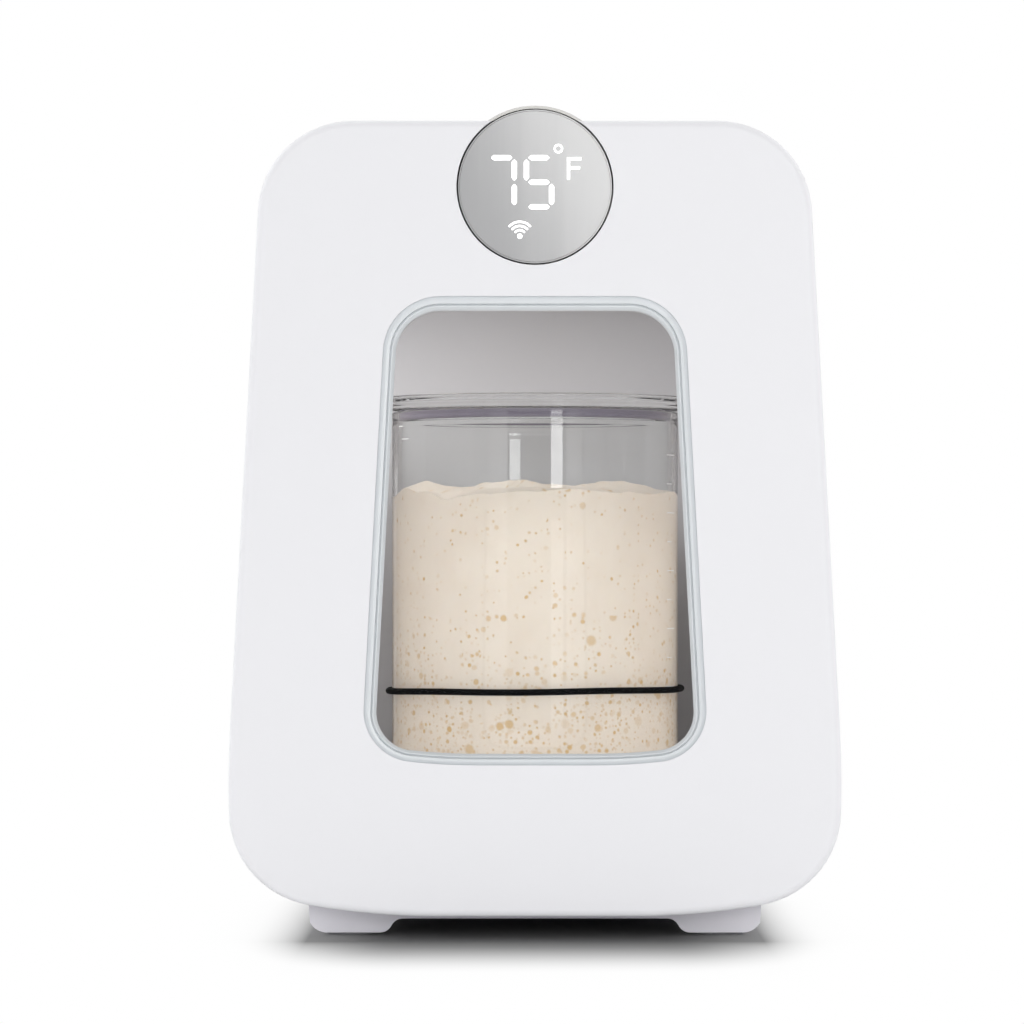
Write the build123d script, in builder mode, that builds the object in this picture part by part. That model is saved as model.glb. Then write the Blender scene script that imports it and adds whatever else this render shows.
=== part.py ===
"""Countertop sourdough starter warmer: an insulated cabinet with a windowed door and a round dial.

The origin is on the table, under the middle of the cabinet. +X is to the right as seen from the
front, +Y runs towards the back and +Z is up. Depths are counted back from the door's front face.
"""

import os
from math import asin, degrees

from build123d import *

# Overall size
DEPTH = 232.0
FACE_Y = -DEPTH / 2

# Outline shared by the door and the cabinet, from the bottom centre round to the top
OUTLINE_BOTTOM = 8.5
OUTLINE_FLAT = 33.3
OUTLINE_BOW_RADIUS = 251.9
OUTLINE_BOW_ANGLE = 10.2
OUTLINE_CORNER_RADIUS = 32.8
OUTLINE_CORNER_ANGLE = 78.4
OUTLINE_BELLY_RADIUS = 379.6
OUTLINE_SIDE = 176.9
OUTLINE_TOP_RADIUS = 32.5
SIDE_TAPER = 3.08

# Window loop in the door, outer edge of the trim
WINDOW_BOTTOM = 60.3
WINDOW_FLAT = 20.0
WINDOW_BOW_RADIUS = 214.2
WINDOW_BOW_ANGLE = 6.2
WINDOW_CORNER_RADIUS = 17.4
WINDOW_SIDE = 122.6
WINDOW_TOP_RADIUS = 19.7
TRIM_WIDTH = 4.3
TRIM_BOTTOM_WIDTH = 3.9
TRIM_TOP_WIDTH = 4.8

# Door, in depths from the front face
DOOR_SKIN = 3.0
DOOR_WALL = 2.5
SHELL_BACK = 24.0
PANEL_BACK = 27.0
PANEL_INSET = 2.5
PANEL_REVEAL = 1.0
PANE_FRONT = 3.0
PANE_THICKNESS = 3.0
FRONT_EDGE_RADIUS = 2.5

# Cabinet, in depths from the front face
CABINET_FRONT = 31.0
FRAME_BACK = 34.0
SHELL_REAR = 205.0
COVER_INSIDE = 229.5
WALL = 2.5

# Dial
DIAL_Z = 258.4
BARREL_RADIUS = 27.9
BARREL_BORE = 26.9
BARREL_FRONT = 3.4
RING_RADIUS = 26.3
RING_BORE = 25.0
RING_MOUTH = 25.9
LENS_RADIUS = 25.78
DISC_FRONT = 0.8
LENS_BACK = 3.0
CARRIER_FRONT = 4.6
CARRIER_BACK = 14.0
STEM_RADIUS = 6.0
STEM_BACK = 26.0
RUNNING = 0.05
SADDLE_RADIUS = 30.8
SADDLE_WALL = 2.0
SPIGOT_RADIUS = 25.3
FAIRING_LENGTH = 55.0

# Chamber
CHAMBER_HALF = 62.0
CHAMBER_FLOOR = 27.0
CHAMBER_TOP = 227.0
CHAMBER_BACK = 156.0
LINER_WALL = 2.0
MOUTH_HALF = 60.0
MOUTH_TOP = 219.5
CHAMBER_CORNER = 10.0

# Hinge
HINGE_X = 92.0
HINGE_DEPTH = 11.0
HINGE_HEIGHTS = (50.0, 170.0)
PIN_RADIUS = 2.0
ARM_HALF_THICKNESS = 1.5
ARM_HALF_WIDTH = 3.0
ARM_EYE_RADIUS = 4.0
SLOT_HALF = 1.9
BLOCK_HALF = 9.0

# Screw rails in the four corners of the cabinet
RAIL_RADIUS = 4.5
RAIL_POINTS = ((90.5, 26.4), (80.9, 266.9))
PILOT_RADIUS = 1.3
SCREW_RADIUS = 1.25
HEAD_RADIUS = 2.6
HEAD_HEIGHT = 1.5
HEAD_CLEARANCE = 0.2
HOLE_CLEARANCE = 0.2
DRIVE_SIZE = (2.6, 0.6)
DRIVE_DEPTH = 0.6
FRAME_SCREW_TIP = 48.0

# Screws that hold the base under the cabinet
BASE_SCREW_X = 28.0
BASE_SCREW_DEPTHS = (60.0, 198.0)

# Jar
JAR_DEPTH = 93.0
JAR_RADIUS = 51.4
JAR_WALL = 2.0
JAR_BOTTOM = 30.3
JAR_TOP = 184.0
LID_RADIUS = 55.0
LID_BOTTOM = 184.3
LID_TOP = 189.3
PLUG_RADIUS = 47.4
PLUG_BOTTOM = 180.0
STARTER_TOP = 156.4
BAND_HEIGHT = 84.6
BAND_RADIUS = 1.3

# Heat pump stack behind the chamber
THERMAL_Z = 120.0
MODULE_SIDE = 40.0
SINK_HALF_X = 45.0
SINK_HALF_Z = 48.0
FAN_HALF = 40.0

MIRROR_X = (-1, 1)


def at_depth(depth):
    """Plane facing the front at a depth; its x is +X and its y is +Z."""
    return Plane.XZ.offset(-(FACE_Y + depth))


def tapered_loop(bottom, flat, bow, bow_turn, corner, corner_turn, belly, side, top):
    """Closed tapered outline, symmetric about x = 0, as a sketch on XY.

    It runs from the bottom centre along a flat, a shallow bow, a corner, an optional belly arc and
    a straight side that leans in by SIDE_TAPER, then round the top corner to the top centre.
    """
    with BuildSketch() as loop:
        with BuildLine():
            base = Line((0, bottom), (flat, bottom))
            bow_arc = JernArc(base @ 1, base % 1, bow, bow_turn)
            corner_arc = JernArc(bow_arc @ 1, bow_arc % 1, corner, corner_turn)
            last = corner_arc
            if belly:
                belly_turn = 90 + SIDE_TAPER - bow_turn - corner_turn
                last = JernArc(corner_arc @ 1, corner_arc % 1, belly, belly_turn)
            edge = Line(last @ 1, (last @ 1) + (last % 1) * side)
            top_arc = JernArc(edge @ 1, edge % 1, top, 90 - SIDE_TAPER)
            Line(top_arc @ 1, (0, (top_arc @ 1).Y))
            mirror(about=Plane.YZ)
        make_face()
    return loop.sketch


def outline(inset):
    """Outline of the door and the cabinet, drawn in by inset."""
    return tapered_loop(
        OUTLINE_BOTTOM + inset,
        OUTLINE_FLAT,
        OUTLINE_BOW_RADIUS - inset,
        OUTLINE_BOW_ANGLE,
        OUTLINE_CORNER_RADIUS - inset,
        OUTLINE_CORNER_ANGLE,
        OUTLINE_BELLY_RADIUS - inset,
        OUTLINE_SIDE,
        OUTLINE_TOP_RADIUS - inset,
    )


def window(inset):
    """Window outline, drawn in by inset."""
    return tapered_loop(
        WINDOW_BOTTOM + inset,
        WINDOW_FLAT,
        WINDOW_BOW_RADIUS - inset,
        WINDOW_BOW_ANGLE,
        WINDOW_CORNER_RADIUS - inset,
        90 + SIDE_TAPER - WINDOW_BOW_ANGLE,
        0,
        WINDOW_SIDE,
        WINDOW_TOP_RADIUS - inset,
    )


def glass(inset):
    """Visible glass outline inside the trim, drawn in by inset."""
    total = TRIM_WIDTH + inset
    extra = (TRIM_WIDTH - TRIM_BOTTOM_WIDTH) + (TRIM_WIDTH - TRIM_TOP_WIDTH)
    return tapered_loop(
        WINDOW_BOTTOM + TRIM_BOTTOM_WIDTH + inset,
        WINDOW_FLAT,
        WINDOW_BOW_RADIUS - total,
        WINDOW_BOW_ANGLE,
        WINDOW_CORNER_RADIUS - total,
        90 + SIDE_TAPER - WINDOW_BOW_ANGLE,
        0,
        WINDOW_SIDE + extra,
        WINDOW_TOP_RADIUS - total,
    )


def save(part, name):
    """Labels a finished piece and writes it as a STEP file."""
    part.label = name
    export_step(part, f"parts/{name}.step")


os.makedirs("parts", exist_ok=True)

body_outline = outline(0)
window_outline = window(0)
glass_outline = glass(0)
rail_xz = [(side * x, z) for side in MIRROR_X for x, z in RAIL_POINTS]
base_screw_xy = [(side * BASE_SCREW_X, FACE_Y + depth) for side in MIRROR_X for depth in BASE_SCREW_DEPTHS]


# Cabinet shell: a tapered sleeve with a half-buried barrel fairing and four screw rails
FAIRING_BACK = CABINET_FRONT + FAIRING_LENGTH
with BuildPart() as cabinet_shell:
    with BuildSketch(at_depth(CABINET_FRONT)):
        add(body_outline)
    extrude(amount=-(SHELL_REAR - CABINET_FRONT))
    with BuildSketch(at_depth(CABINET_FRONT)):
        with Locations((0, DIAL_Z)):
            Circle(BARREL_RADIUS)
    extrude(amount=-FAIRING_LENGTH)
    with Locations((0, FACE_Y + FAIRING_BACK, DIAL_Z)):
        Sphere(BARREL_RADIUS)
    with BuildSketch(at_depth(CABINET_FRONT)):
        add(outline(WALL))
    extrude(amount=-(SHELL_REAR - CABINET_FRONT), mode=Mode.SUBTRACT)
    with BuildSketch(at_depth(CABINET_FRONT)):
        with Locations((0, DIAL_Z)):
            Circle(BARREL_RADIUS - WALL)
    extrude(amount=-FAIRING_LENGTH, mode=Mode.SUBTRACT)
    with Locations((0, FACE_Y + FAIRING_BACK, DIAL_Z)):
        Sphere(BARREL_RADIUS - WALL, mode=Mode.SUBTRACT)
    with BuildSketch(at_depth(FRAME_BACK)):
        add(body_outline)
        with Locations(*rail_xz):
            Circle(RAIL_RADIUS, mode=Mode.INTERSECT)
    extrude(amount=-(SHELL_REAR - FRAME_BACK))
    with BuildSketch(at_depth(FRAME_BACK)):
        with Locations(*rail_xz):
            Circle(PILOT_RADIUS)
    extrude(amount=-(SHELL_REAR - FRAME_BACK), mode=Mode.SUBTRACT)
    with BuildSketch(Plane.XY.offset(OUTLINE_BOTTOM)):
        with Locations(*base_screw_xy):
            Circle(PILOT_RADIUS)
    extrude(amount=WALL, mode=Mode.SUBTRACT)
save(cabinet_shell.part, "cabinet_shell")


# Front frame: closes the cabinet round the chamber mouth
HINGE_FOOT = (76.0, 95.0)
HINGE_FOOT_HALF = 8.0
HINGE_FOOT_THICKNESS = 2.0
HINGE_BOSS_DEPTH = 44.0
HINGE_BOSS = (74.0, 94.5)
HINGE_SCREW_X = 79.5
HINGE_SCREW_OFFSET = 5.0
HINGE_SCREW_TIP = 42.0
STRIKE_X = -84.0
STRIKE_HEIGHTS = (60.0, 200.0)
STRIKE_SIZE = (8.0, 24.0)
STRIKE_THICKNESS = 1.5
foot_centre = sum(HINGE_FOOT) / 2
foot_width = HINGE_FOOT[1] - HINGE_FOOT[0]
boss_centre = sum(HINGE_BOSS) / 2
boss_width = HINGE_BOSS[1] - HINGE_BOSS[0]
foot_xz = [(foot_centre, height) for height in HINGE_HEIGHTS]
boss_xz = [(boss_centre, height) for height in HINGE_HEIGHTS]
strike_xz = [(STRIKE_X, height) for height in STRIKE_HEIGHTS]
hinge_screw_xz = [
    (HINGE_SCREW_X, height + side * HINGE_SCREW_OFFSET) for height in HINGE_HEIGHTS for side in MIRROR_X
]
with BuildPart() as front_frame:
    with BuildSketch(at_depth(CABINET_FRONT)):
        add(outline(WALL))
        with Locations((0, DIAL_Z)):
            Circle(SPIGOT_RADIUS + RUNNING, mode=Mode.SUBTRACT)
        with Locations((0, (CHAMBER_FLOOR + MOUTH_TOP) / 2)):
            RectangleRounded(2 * MOUTH_HALF, MOUTH_TOP - CHAMBER_FLOOR, CHAMBER_CORNER, mode=Mode.SUBTRACT)
    extrude(amount=-(FRAME_BACK - CABINET_FRONT))
    with BuildSketch(at_depth(FRAME_BACK)):
        with Locations(*boss_xz):
            Rectangle(boss_width, 2 * HINGE_FOOT_HALF)
    extrude(amount=-(HINGE_BOSS_DEPTH - FRAME_BACK))
    with BuildSketch(at_depth(CABINET_FRONT)):
        with Locations(*foot_xz):
            Rectangle(foot_width, 2 * HINGE_FOOT_HALF)
    extrude(amount=-HINGE_FOOT_THICKNESS, mode=Mode.SUBTRACT)
    with BuildSketch(at_depth(CABINET_FRONT)):
        with Locations(*strike_xz):
            Rectangle(*STRIKE_SIZE)
    extrude(amount=-STRIKE_THICKNESS, mode=Mode.SUBTRACT)
    with BuildSketch(at_depth(CABINET_FRONT)):
        with Locations(*hinge_screw_xz, *rail_xz):
            Circle(PILOT_RADIUS)
    extrude(amount=-(HINGE_BOSS_DEPTH - CABINET_FRONT), mode=Mode.SUBTRACT)
    with BuildSketch(at_depth(CABINET_FRONT)):
        with Locations(*rail_xz):
            Circle(HEAD_RADIUS + RUNNING)
    extrude(amount=-HEAD_HEIGHT, mode=Mode.SUBTRACT)
save(front_frame.part, "front_frame")

with BuildPart() as strike_plates:
    with BuildSketch(at_depth(CABINET_FRONT)):
        with Locations(*strike_xz):
            Rectangle(*STRIKE_SIZE)
    extrude(amount=-STRIKE_THICKNESS)
save(strike_plates.part, "strike_plates")


def screws(points, head_front, head_height, tip):
    """Screws seen from the front, with their heads at head_front and tips at a deeper depth."""
    with BuildPart() as group:
        with BuildSketch(at_depth(head_front)):
            with Locations(*points):
                Circle(HEAD_RADIUS)
        extrude(amount=-head_height)
        with BuildSketch(at_depth(head_front + head_height)):
            with Locations(*points):
                Circle(SCREW_RADIUS)
        extrude(amount=-(tip - head_front - head_height))
        with BuildSketch(at_depth(head_front)):
            with Locations(*points):
                Rectangle(*DRIVE_SIZE)
                Rectangle(*DRIVE_SIZE, rotation=90)
        extrude(amount=-DRIVE_DEPTH, mode=Mode.SUBTRACT)
    return group.part


def rear_screws(points, head_back, head_height, tip):
    """Screws seen from the back, with their heads at head_back and tips at a shallower depth."""
    with BuildPart() as group:
        with BuildSketch(at_depth(head_back)):
            with Locations(*points):
                Circle(HEAD_RADIUS)
        extrude(amount=head_height)
        with BuildSketch(at_depth(head_back - head_height)):
            with Locations(*points):
                Circle(SCREW_RADIUS)
        extrude(amount=head_back - head_height - tip)
        with BuildSketch(at_depth(head_back)):
            with Locations(*points):
                Rectangle(*DRIVE_SIZE)
                Rectangle(*DRIVE_SIZE, rotation=90)
        extrude(amount=DRIVE_DEPTH, mode=Mode.SUBTRACT)
    return group.part


save(screws(rail_xz, CABINET_FRONT, HEAD_HEIGHT, FRAME_SCREW_TIP), "front_frame_screws")


# Chamber liner, the mat that the jar stands on, and the plate that heats or cools the chamber
LINER_BACK = CHAMBER_BACK + LINER_WALL
LINER_CENTRE = (CHAMBER_FLOOR + CHAMBER_TOP) / 2
PLATE_SIZE = (69.6, 89.6)
PLATE_FRONT = 155.2
PLATE_BACK = 158.2
PLATE_GAP = 0.2
CUT_MARGIN = 1.0
SENSOR_DEPTH = 125.0
SENSOR_Z = 60.0
SENSOR_STEM = 2.0
SENSOR_HEAD = 4.0
SENSOR_HEAD_HEIGHT = 2.5
with BuildPart() as liner:
    with BuildSketch(at_depth(FRAME_BACK)):
        with Locations((0, LINER_CENTRE)):
            RectangleRounded(
                2 * (CHAMBER_HALF + LINER_WALL),
                CHAMBER_TOP - CHAMBER_FLOOR + 2 * LINER_WALL,
                CHAMBER_CORNER + LINER_WALL,
            )
    extrude(amount=-(LINER_BACK - FRAME_BACK))
    with BuildSketch(at_depth(FRAME_BACK)):
        with Locations((0, LINER_CENTRE)):
            RectangleRounded(2 * CHAMBER_HALF, CHAMBER_TOP - CHAMBER_FLOOR, CHAMBER_CORNER)
    extrude(amount=-(CHAMBER_BACK - FRAME_BACK), mode=Mode.SUBTRACT)
    with BuildSketch(at_depth(CHAMBER_BACK - CUT_MARGIN)):
        with Locations((0, THERMAL_Z)):
            Rectangle(PLATE_SIZE[0] + 2 * PLATE_GAP, PLATE_SIZE[1] + 2 * PLATE_GAP)
    extrude(amount=-(LINER_WALL + 2 * CUT_MARGIN), mode=Mode.SUBTRACT)
    with BuildSketch(Plane.YZ.offset(-CHAMBER_HALF - LINER_WALL)):
        with Locations((FACE_Y + SENSOR_DEPTH, SENSOR_Z)):
            Circle(SENSOR_STEM + RUNNING)
    extrude(amount=LINER_WALL, mode=Mode.SUBTRACT)
save(liner.part, "liner")

with BuildPart() as chamber_plate:
    with BuildSketch(at_depth(PLATE_FRONT)):
        with Locations((0, THERMAL_Z)):
            Rectangle(*PLATE_SIZE)
    extrude(amount=-(PLATE_BACK - PLATE_FRONT))
save(chamber_plate.part, "chamber_plate")

with BuildPart() as temperature_sensor:
    with BuildSketch(Plane.YZ.offset(-CHAMBER_HALF - LINER_WALL)):
        with Locations((FACE_Y + SENSOR_DEPTH, SENSOR_Z)):
            Circle(SENSOR_STEM)
    extrude(amount=LINER_WALL)
    with BuildSketch(Plane.YZ.offset(-CHAMBER_HALF)):
        with Locations((FACE_Y + SENSOR_DEPTH, SENSOR_Z)):
            Circle(SENSOR_HEAD)
    extrude(amount=SENSOR_HEAD_HEIGHT)
save(temperature_sensor.part, "temperature_sensor")

MAT_THICKNESS = 3.0
MAT_RADIUS = 50.0
MAT_EDGE = 0.8
JAR_Y = FACE_Y + JAR_DEPTH
with BuildPart() as jar_mat:
    with BuildSketch(Plane.XY.offset(CHAMBER_FLOOR)):
        with Locations((0, JAR_Y)):
            Circle(MAT_RADIUS)
    extrude(amount=MAT_THICKNESS)
    chamfer(jar_mat.edges().group_by(Axis.Z)[-1], MAT_EDGE)
save(jar_mat.part, "jar_mat")


# Foam round the chamber, in two halves, and behind it
FOAM_GAP = 0.3
FOAM_TOP = 232.0
FOAM_REAR_BACK = 183.0
FOAM_CUT = (240.0, 100.0)
FOAM_SPLIT_HEIGHT = 600.0
FOAM_BOSS_GAP = 1.0
with BuildPart() as insulation:
    with BuildSketch(at_depth(FRAME_BACK + FOAM_GAP)):
        add(outline(WALL + FOAM_GAP))
        with Locations((0, FOAM_TOP + FOAM_CUT[1] / 2)):
            Rectangle(*FOAM_CUT, mode=Mode.SUBTRACT)
        with Locations((0, LINER_CENTRE)):
            RectangleRounded(
                2 * (CHAMBER_HALF + LINER_WALL + FOAM_GAP),
                CHAMBER_TOP - CHAMBER_FLOOR + 2 * (LINER_WALL + FOAM_GAP),
                CHAMBER_CORNER + LINER_WALL,
                mode=Mode.SUBTRACT,
            )
        with Locations(*rail_xz):
            Circle(RAIL_RADIUS + FOAM_GAP, mode=Mode.SUBTRACT)
        Rectangle(2 * FOAM_GAP, FOAM_SPLIT_HEIGHT, mode=Mode.SUBTRACT)
    extrude(amount=-(LINER_BACK - FRAME_BACK - FOAM_GAP))
    with BuildSketch(at_depth(FRAME_BACK)):
        with Locations(*boss_xz):
            Rectangle(boss_width + 2 * FOAM_GAP, 2 * (HINGE_FOOT_HALF + FOAM_GAP))
    extrude(amount=-(HINGE_BOSS_DEPTH - FRAME_BACK + FOAM_BOSS_GAP), mode=Mode.SUBTRACT)
foam_halves = insulation.part.solids().sort_by(Axis.X)
save(Part([foam_halves[0]]), "insulation_left")
save(Part([foam_halves[-1]]), "insulation_right")

SINK_SCREW = 30.0
sink_screw_xz = [(x * SINK_SCREW, THERMAL_Z + z * SINK_SCREW) for x in MIRROR_X for z in MIRROR_X]
with BuildPart() as insulation_rear:
    with BuildSketch(at_depth(LINER_BACK + 2 * FOAM_GAP)):
        add(outline(WALL + FOAM_GAP))
        with Locations((0, FOAM_TOP + FOAM_CUT[1] / 2)):
            Rectangle(*FOAM_CUT, mode=Mode.SUBTRACT)
        with Locations((0, THERMAL_Z)):
            Rectangle(MODULE_SIDE + 2 * FOAM_GAP, MODULE_SIDE + 2 * FOAM_GAP, mode=Mode.SUBTRACT)
        with Locations(*rail_xz):
            Circle(RAIL_RADIUS + FOAM_GAP, mode=Mode.SUBTRACT)
        with Locations(*sink_screw_xz):
            Circle(SCREW_RADIUS + FOAM_GAP, mode=Mode.SUBTRACT)
    extrude(amount=-(FOAM_REAR_BACK - LINER_BACK - 2 * FOAM_GAP))
save(insulation_rear.part, "insulation_rear")


# Heat pump: spacer block, thermoelectric module, finned sink, fan
MODULE_FRONT = 183.5
MODULE_BACK = 187.1
SINK_BASE_BACK = 191.1
FIN_BACK = 209.0
FIN_COUNT = 14
FIN_PITCH = 6.0
FIN_THICKNESS = 1.4
with BuildPart() as spacer_block:
    with BuildSketch(at_depth(PLATE_BACK)):
        with Locations((0, THERMAL_Z)):
            Rectangle(MODULE_SIDE, MODULE_SIDE)
    extrude(amount=-(MODULE_FRONT - PLATE_BACK))
save(spacer_block.part, "spacer_block")

with BuildPart() as thermoelectric_module:
    with BuildSketch(at_depth(MODULE_FRONT)):
        with Locations((0, THERMAL_Z)):
            Rectangle(MODULE_SIDE, MODULE_SIDE)
    extrude(amount=-(MODULE_BACK - MODULE_FRONT))
save(thermoelectric_module.part, "thermoelectric_module")

with BuildPart() as heat_sink:
    with BuildSketch(at_depth(MODULE_BACK)):
        with Locations((0, THERMAL_Z)):
            Rectangle(2 * SINK_HALF_X, 2 * SINK_HALF_Z)
        with Locations(*sink_screw_xz):
            Circle(PILOT_RADIUS + HOLE_CLEARANCE, mode=Mode.SUBTRACT)
    extrude(amount=-(SINK_BASE_BACK - MODULE_BACK))
    with BuildSketch(at_depth(SINK_BASE_BACK)):
        with Locations((0, THERMAL_Z)):
            with GridLocations(FIN_PITCH, 0, FIN_COUNT, 1):
                Rectangle(FIN_THICKNESS, 2 * SINK_HALF_Z)
    extrude(amount=-(FIN_BACK - SINK_BASE_BACK))
save(heat_sink.part, "heat_sink")

SINK_HEAD_RADIUS = 2.2
SINK_HEAD = 2.0
with BuildPart() as sink_screws:
    with BuildSketch(at_depth(SINK_BASE_BACK)):
        with Locations(*sink_screw_xz):
            Circle(SINK_HEAD_RADIUS)
    extrude(amount=-SINK_HEAD)
    with BuildSketch(at_depth(PLATE_BACK)):
        with Locations(*sink_screw_xz):
            Circle(SCREW_RADIUS)
    extrude(amount=-(SINK_BASE_BACK - PLATE_BACK))
save(sink_screws.part, "sink_screws")

FAN_FRONT = 209.5
FAN_BACK = 224.5
FAN_CORNER = 3.0
FAN_BORE = 38.0
FAN_HUB = 16.0
FAN_STRUT = 4.0
FAN_STRUT_TURNS = (45, 135)
FAN_STRUT_FRONT = 222.0
FAN_SHAFT = 1.5
FAN_SHAFT_FRONT = 212.5
FAN_SCREW = 35.75
FAN_SCREW_CLEARANCE = 0.3
FAN_SCREW_TIP = 203.0
fan_screw_xz = [(x * FAN_SCREW, THERMAL_Z + z * FAN_SCREW) for x in MIRROR_X for z in MIRROR_X]
with BuildPart() as fan_frame:
    with BuildSketch(at_depth(FAN_FRONT)):
        with Locations((0, THERMAL_Z)):
            RectangleRounded(2 * FAN_HALF, 2 * FAN_HALF, FAN_CORNER)
            Circle(FAN_BORE, mode=Mode.SUBTRACT)
        with Locations(*fan_screw_xz):
            Circle(PILOT_RADIUS + FAN_SCREW_CLEARANCE, mode=Mode.SUBTRACT)
    extrude(amount=-(FAN_BACK - FAN_FRONT))
    with BuildSketch(at_depth(FAN_STRUT_FRONT)):
        with Locations((0, THERMAL_Z)):
            for turn in FAN_STRUT_TURNS:
                Rectangle(2 * FAN_BORE + FAN_STRUT, FAN_STRUT, rotation=turn)
            Circle(FAN_HUB)
    extrude(amount=-(FAN_BACK - FAN_STRUT_FRONT))
    with BuildSketch(at_depth(FAN_SHAFT_FRONT)):
        with Locations((0, THERMAL_Z)):
            Circle(FAN_SHAFT)
    extrude(amount=-(FAN_STRUT_FRONT - FAN_SHAFT_FRONT))
save(fan_frame.part, "fan_frame")

ROTOR_FRONT = 211.0
ROTOR_BACK = 221.0
ROTOR_HUB = 14.5
BLADE_COUNT = 7
BLADE_LENGTH = 22.5
BLADE_ROOT = 0.5
BLADE_CHORD = 11.0
BLADE_THICKNESS = 1.2
BLADE_PITCH = 38.0
rotor_centre = (0, FACE_Y + (ROTOR_FRONT + ROTOR_BACK) / 2, THERMAL_Z)
with BuildPart() as fan_rotor:
    with BuildSketch(at_depth(ROTOR_FRONT)):
        with Locations((0, THERMAL_Z)):
            Circle(ROTOR_HUB)
    extrude(amount=-(ROTOR_BACK - ROTOR_FRONT))
    for blade in range(BLADE_COUNT):
        with Locations(Location(rotor_centre, (0, blade * 360 / BLADE_COUNT, 0))):
            with Locations(Location((ROTOR_HUB - BLADE_ROOT + BLADE_LENGTH / 2, 0, 0), (BLADE_PITCH, 0, 0))):
                Box(BLADE_LENGTH, BLADE_CHORD, BLADE_THICKNESS)
    with BuildSketch(at_depth(ROTOR_FRONT)):
        with Locations((0, THERMAL_Z)):
            Circle(FAN_SHAFT + RUNNING)
    extrude(amount=-(ROTOR_BACK - ROTOR_FRONT), mode=Mode.SUBTRACT)
save(fan_rotor.part, "fan_rotor")
save(rear_screws(fan_screw_xz, FAN_BACK + HEAD_HEIGHT, HEAD_HEIGHT, FAN_SCREW_TIP), "fan_screws")


# Rear cover with the fan grille, air slots and board posts
COVER_EDGE = 3.0
GRILLE_RADII = (34.5, 27.0, 19.5, 12.0)
GRILLE_SLOT = 1.8
GRILLE_SPOKES = (30, 90, 150)
GRILLE_SPOKE_SIZE = (80.0, 3.0)
SLOT_ROWS = (44.0, 52.0, 60.0, 172.0, 180.0, 188.0, 196.0)
SLOT_SIZE = (72.0, 3.4)
SOCKET_X = 55.0
SOCKET_Z = 34.0
SOCKET_SIZE = (11.0, 12.0)
BOARD_X = -72.0
BOARD_Z = 105.0
BOARD_SIZE = (36.0, 84.0)
BOARD_FRONT = 200.0
BOARD_THICKNESS = 1.6
BOARD_POST = 2.5
BOARD_PILOT_DEPTH = 12.0
BOARD_SCREW = (15.0, 38.0)
BOARD_SCREW_TIP = 208.0
COVER_HEAD_CLEARANCE = 0.3
COVER_SCREW_TIP = 190.0
board_screw_xz = [
    (BOARD_X + across * BOARD_SCREW[0], BOARD_Z + up * BOARD_SCREW[1])
    for across in MIRROR_X
    for up in MIRROR_X
]
with BuildPart() as rear_cover:
    with BuildSketch(at_depth(SHELL_REAR)):
        add(body_outline)
    extrude(amount=-(DEPTH - SHELL_REAR))
    fillet(rear_cover.edges().group_by(Axis.Y)[-1], radius=COVER_EDGE)
    with BuildSketch(at_depth(SHELL_REAR)):
        add(outline(WALL))
    extrude(amount=-(COVER_INSIDE - SHELL_REAR), mode=Mode.SUBTRACT)
    with BuildSketch(at_depth(SHELL_REAR)):
        add(outline(WALL / 2))
        with Locations(*rail_xz):
            Circle(RAIL_RADIUS, mode=Mode.INTERSECT)
    extrude(amount=-(COVER_INSIDE - SHELL_REAR))
    with BuildSketch(at_depth(BOARD_FRONT + BOARD_THICKNESS)):
        with Locations(*board_screw_xz):
            Circle(BOARD_POST)
    extrude(amount=-(COVER_INSIDE - BOARD_FRONT - BOARD_THICKNESS))
    with BuildSketch(at_depth(BOARD_FRONT)):
        with Locations(*board_screw_xz):
            Circle(PILOT_RADIUS)
    extrude(amount=-BOARD_PILOT_DEPTH, mode=Mode.SUBTRACT)
    with BuildSketch(at_depth(SHELL_REAR)):
        with Locations(*rail_xz):
            Circle(PILOT_RADIUS + HOLE_CLEARANCE)
    extrude(amount=-(DEPTH - SHELL_REAR), mode=Mode.SUBTRACT)
    with BuildSketch(at_depth(DEPTH - 2 * HEAD_HEIGHT)):
        with Locations(*rail_xz):
            Circle(HEAD_RADIUS + COVER_HEAD_CLEARANCE)
    extrude(amount=-2 * HEAD_HEIGHT, mode=Mode.SUBTRACT)
    with BuildSketch(at_depth(COVER_INSIDE)):
        with Locations((0, THERMAL_Z)):
            for radius in GRILLE_RADII:
                Circle(radius + GRILLE_SLOT)
                Circle(radius - GRILLE_SLOT, mode=Mode.SUBTRACT)
            for turn in GRILLE_SPOKES:
                Rectangle(*GRILLE_SPOKE_SIZE, rotation=turn, mode=Mode.SUBTRACT)
        with Locations(*[(0, height) for height in SLOT_ROWS]):
            SlotOverall(*SLOT_SIZE)
        with Locations((SOCKET_X, SOCKET_Z)):
            Rectangle(*SOCKET_SIZE)
    extrude(amount=-(DEPTH - COVER_INSIDE), mode=Mode.SUBTRACT)
save(rear_cover.part, "rear_cover")
save(rear_screws(rail_xz, DEPTH - HEAD_HEIGHT, HEAD_HEIGHT, COVER_SCREW_TIP), "rear_cover_screws")

SOCKET_FRONT = 216.0
SOCKET_BORE = 2.75
SOCKET_PIN = 1.0
SOCKET_REACH = 9.0
with BuildPart() as inlet_socket:
    with BuildSketch(at_depth(SOCKET_FRONT)):
        with Locations((SOCKET_X, SOCKET_Z)):
            Rectangle(*SOCKET_SIZE)
    extrude(amount=-(DEPTH - SOCKET_FRONT))
    with BuildSketch(at_depth(DEPTH - SOCKET_REACH)):
        with Locations((SOCKET_X, SOCKET_Z)):
            Circle(SOCKET_BORE)
            Circle(SOCKET_PIN, mode=Mode.SUBTRACT)
    extrude(amount=-SOCKET_REACH, mode=Mode.SUBTRACT)
save(inlet_socket.part, "inlet_socket")

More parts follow.
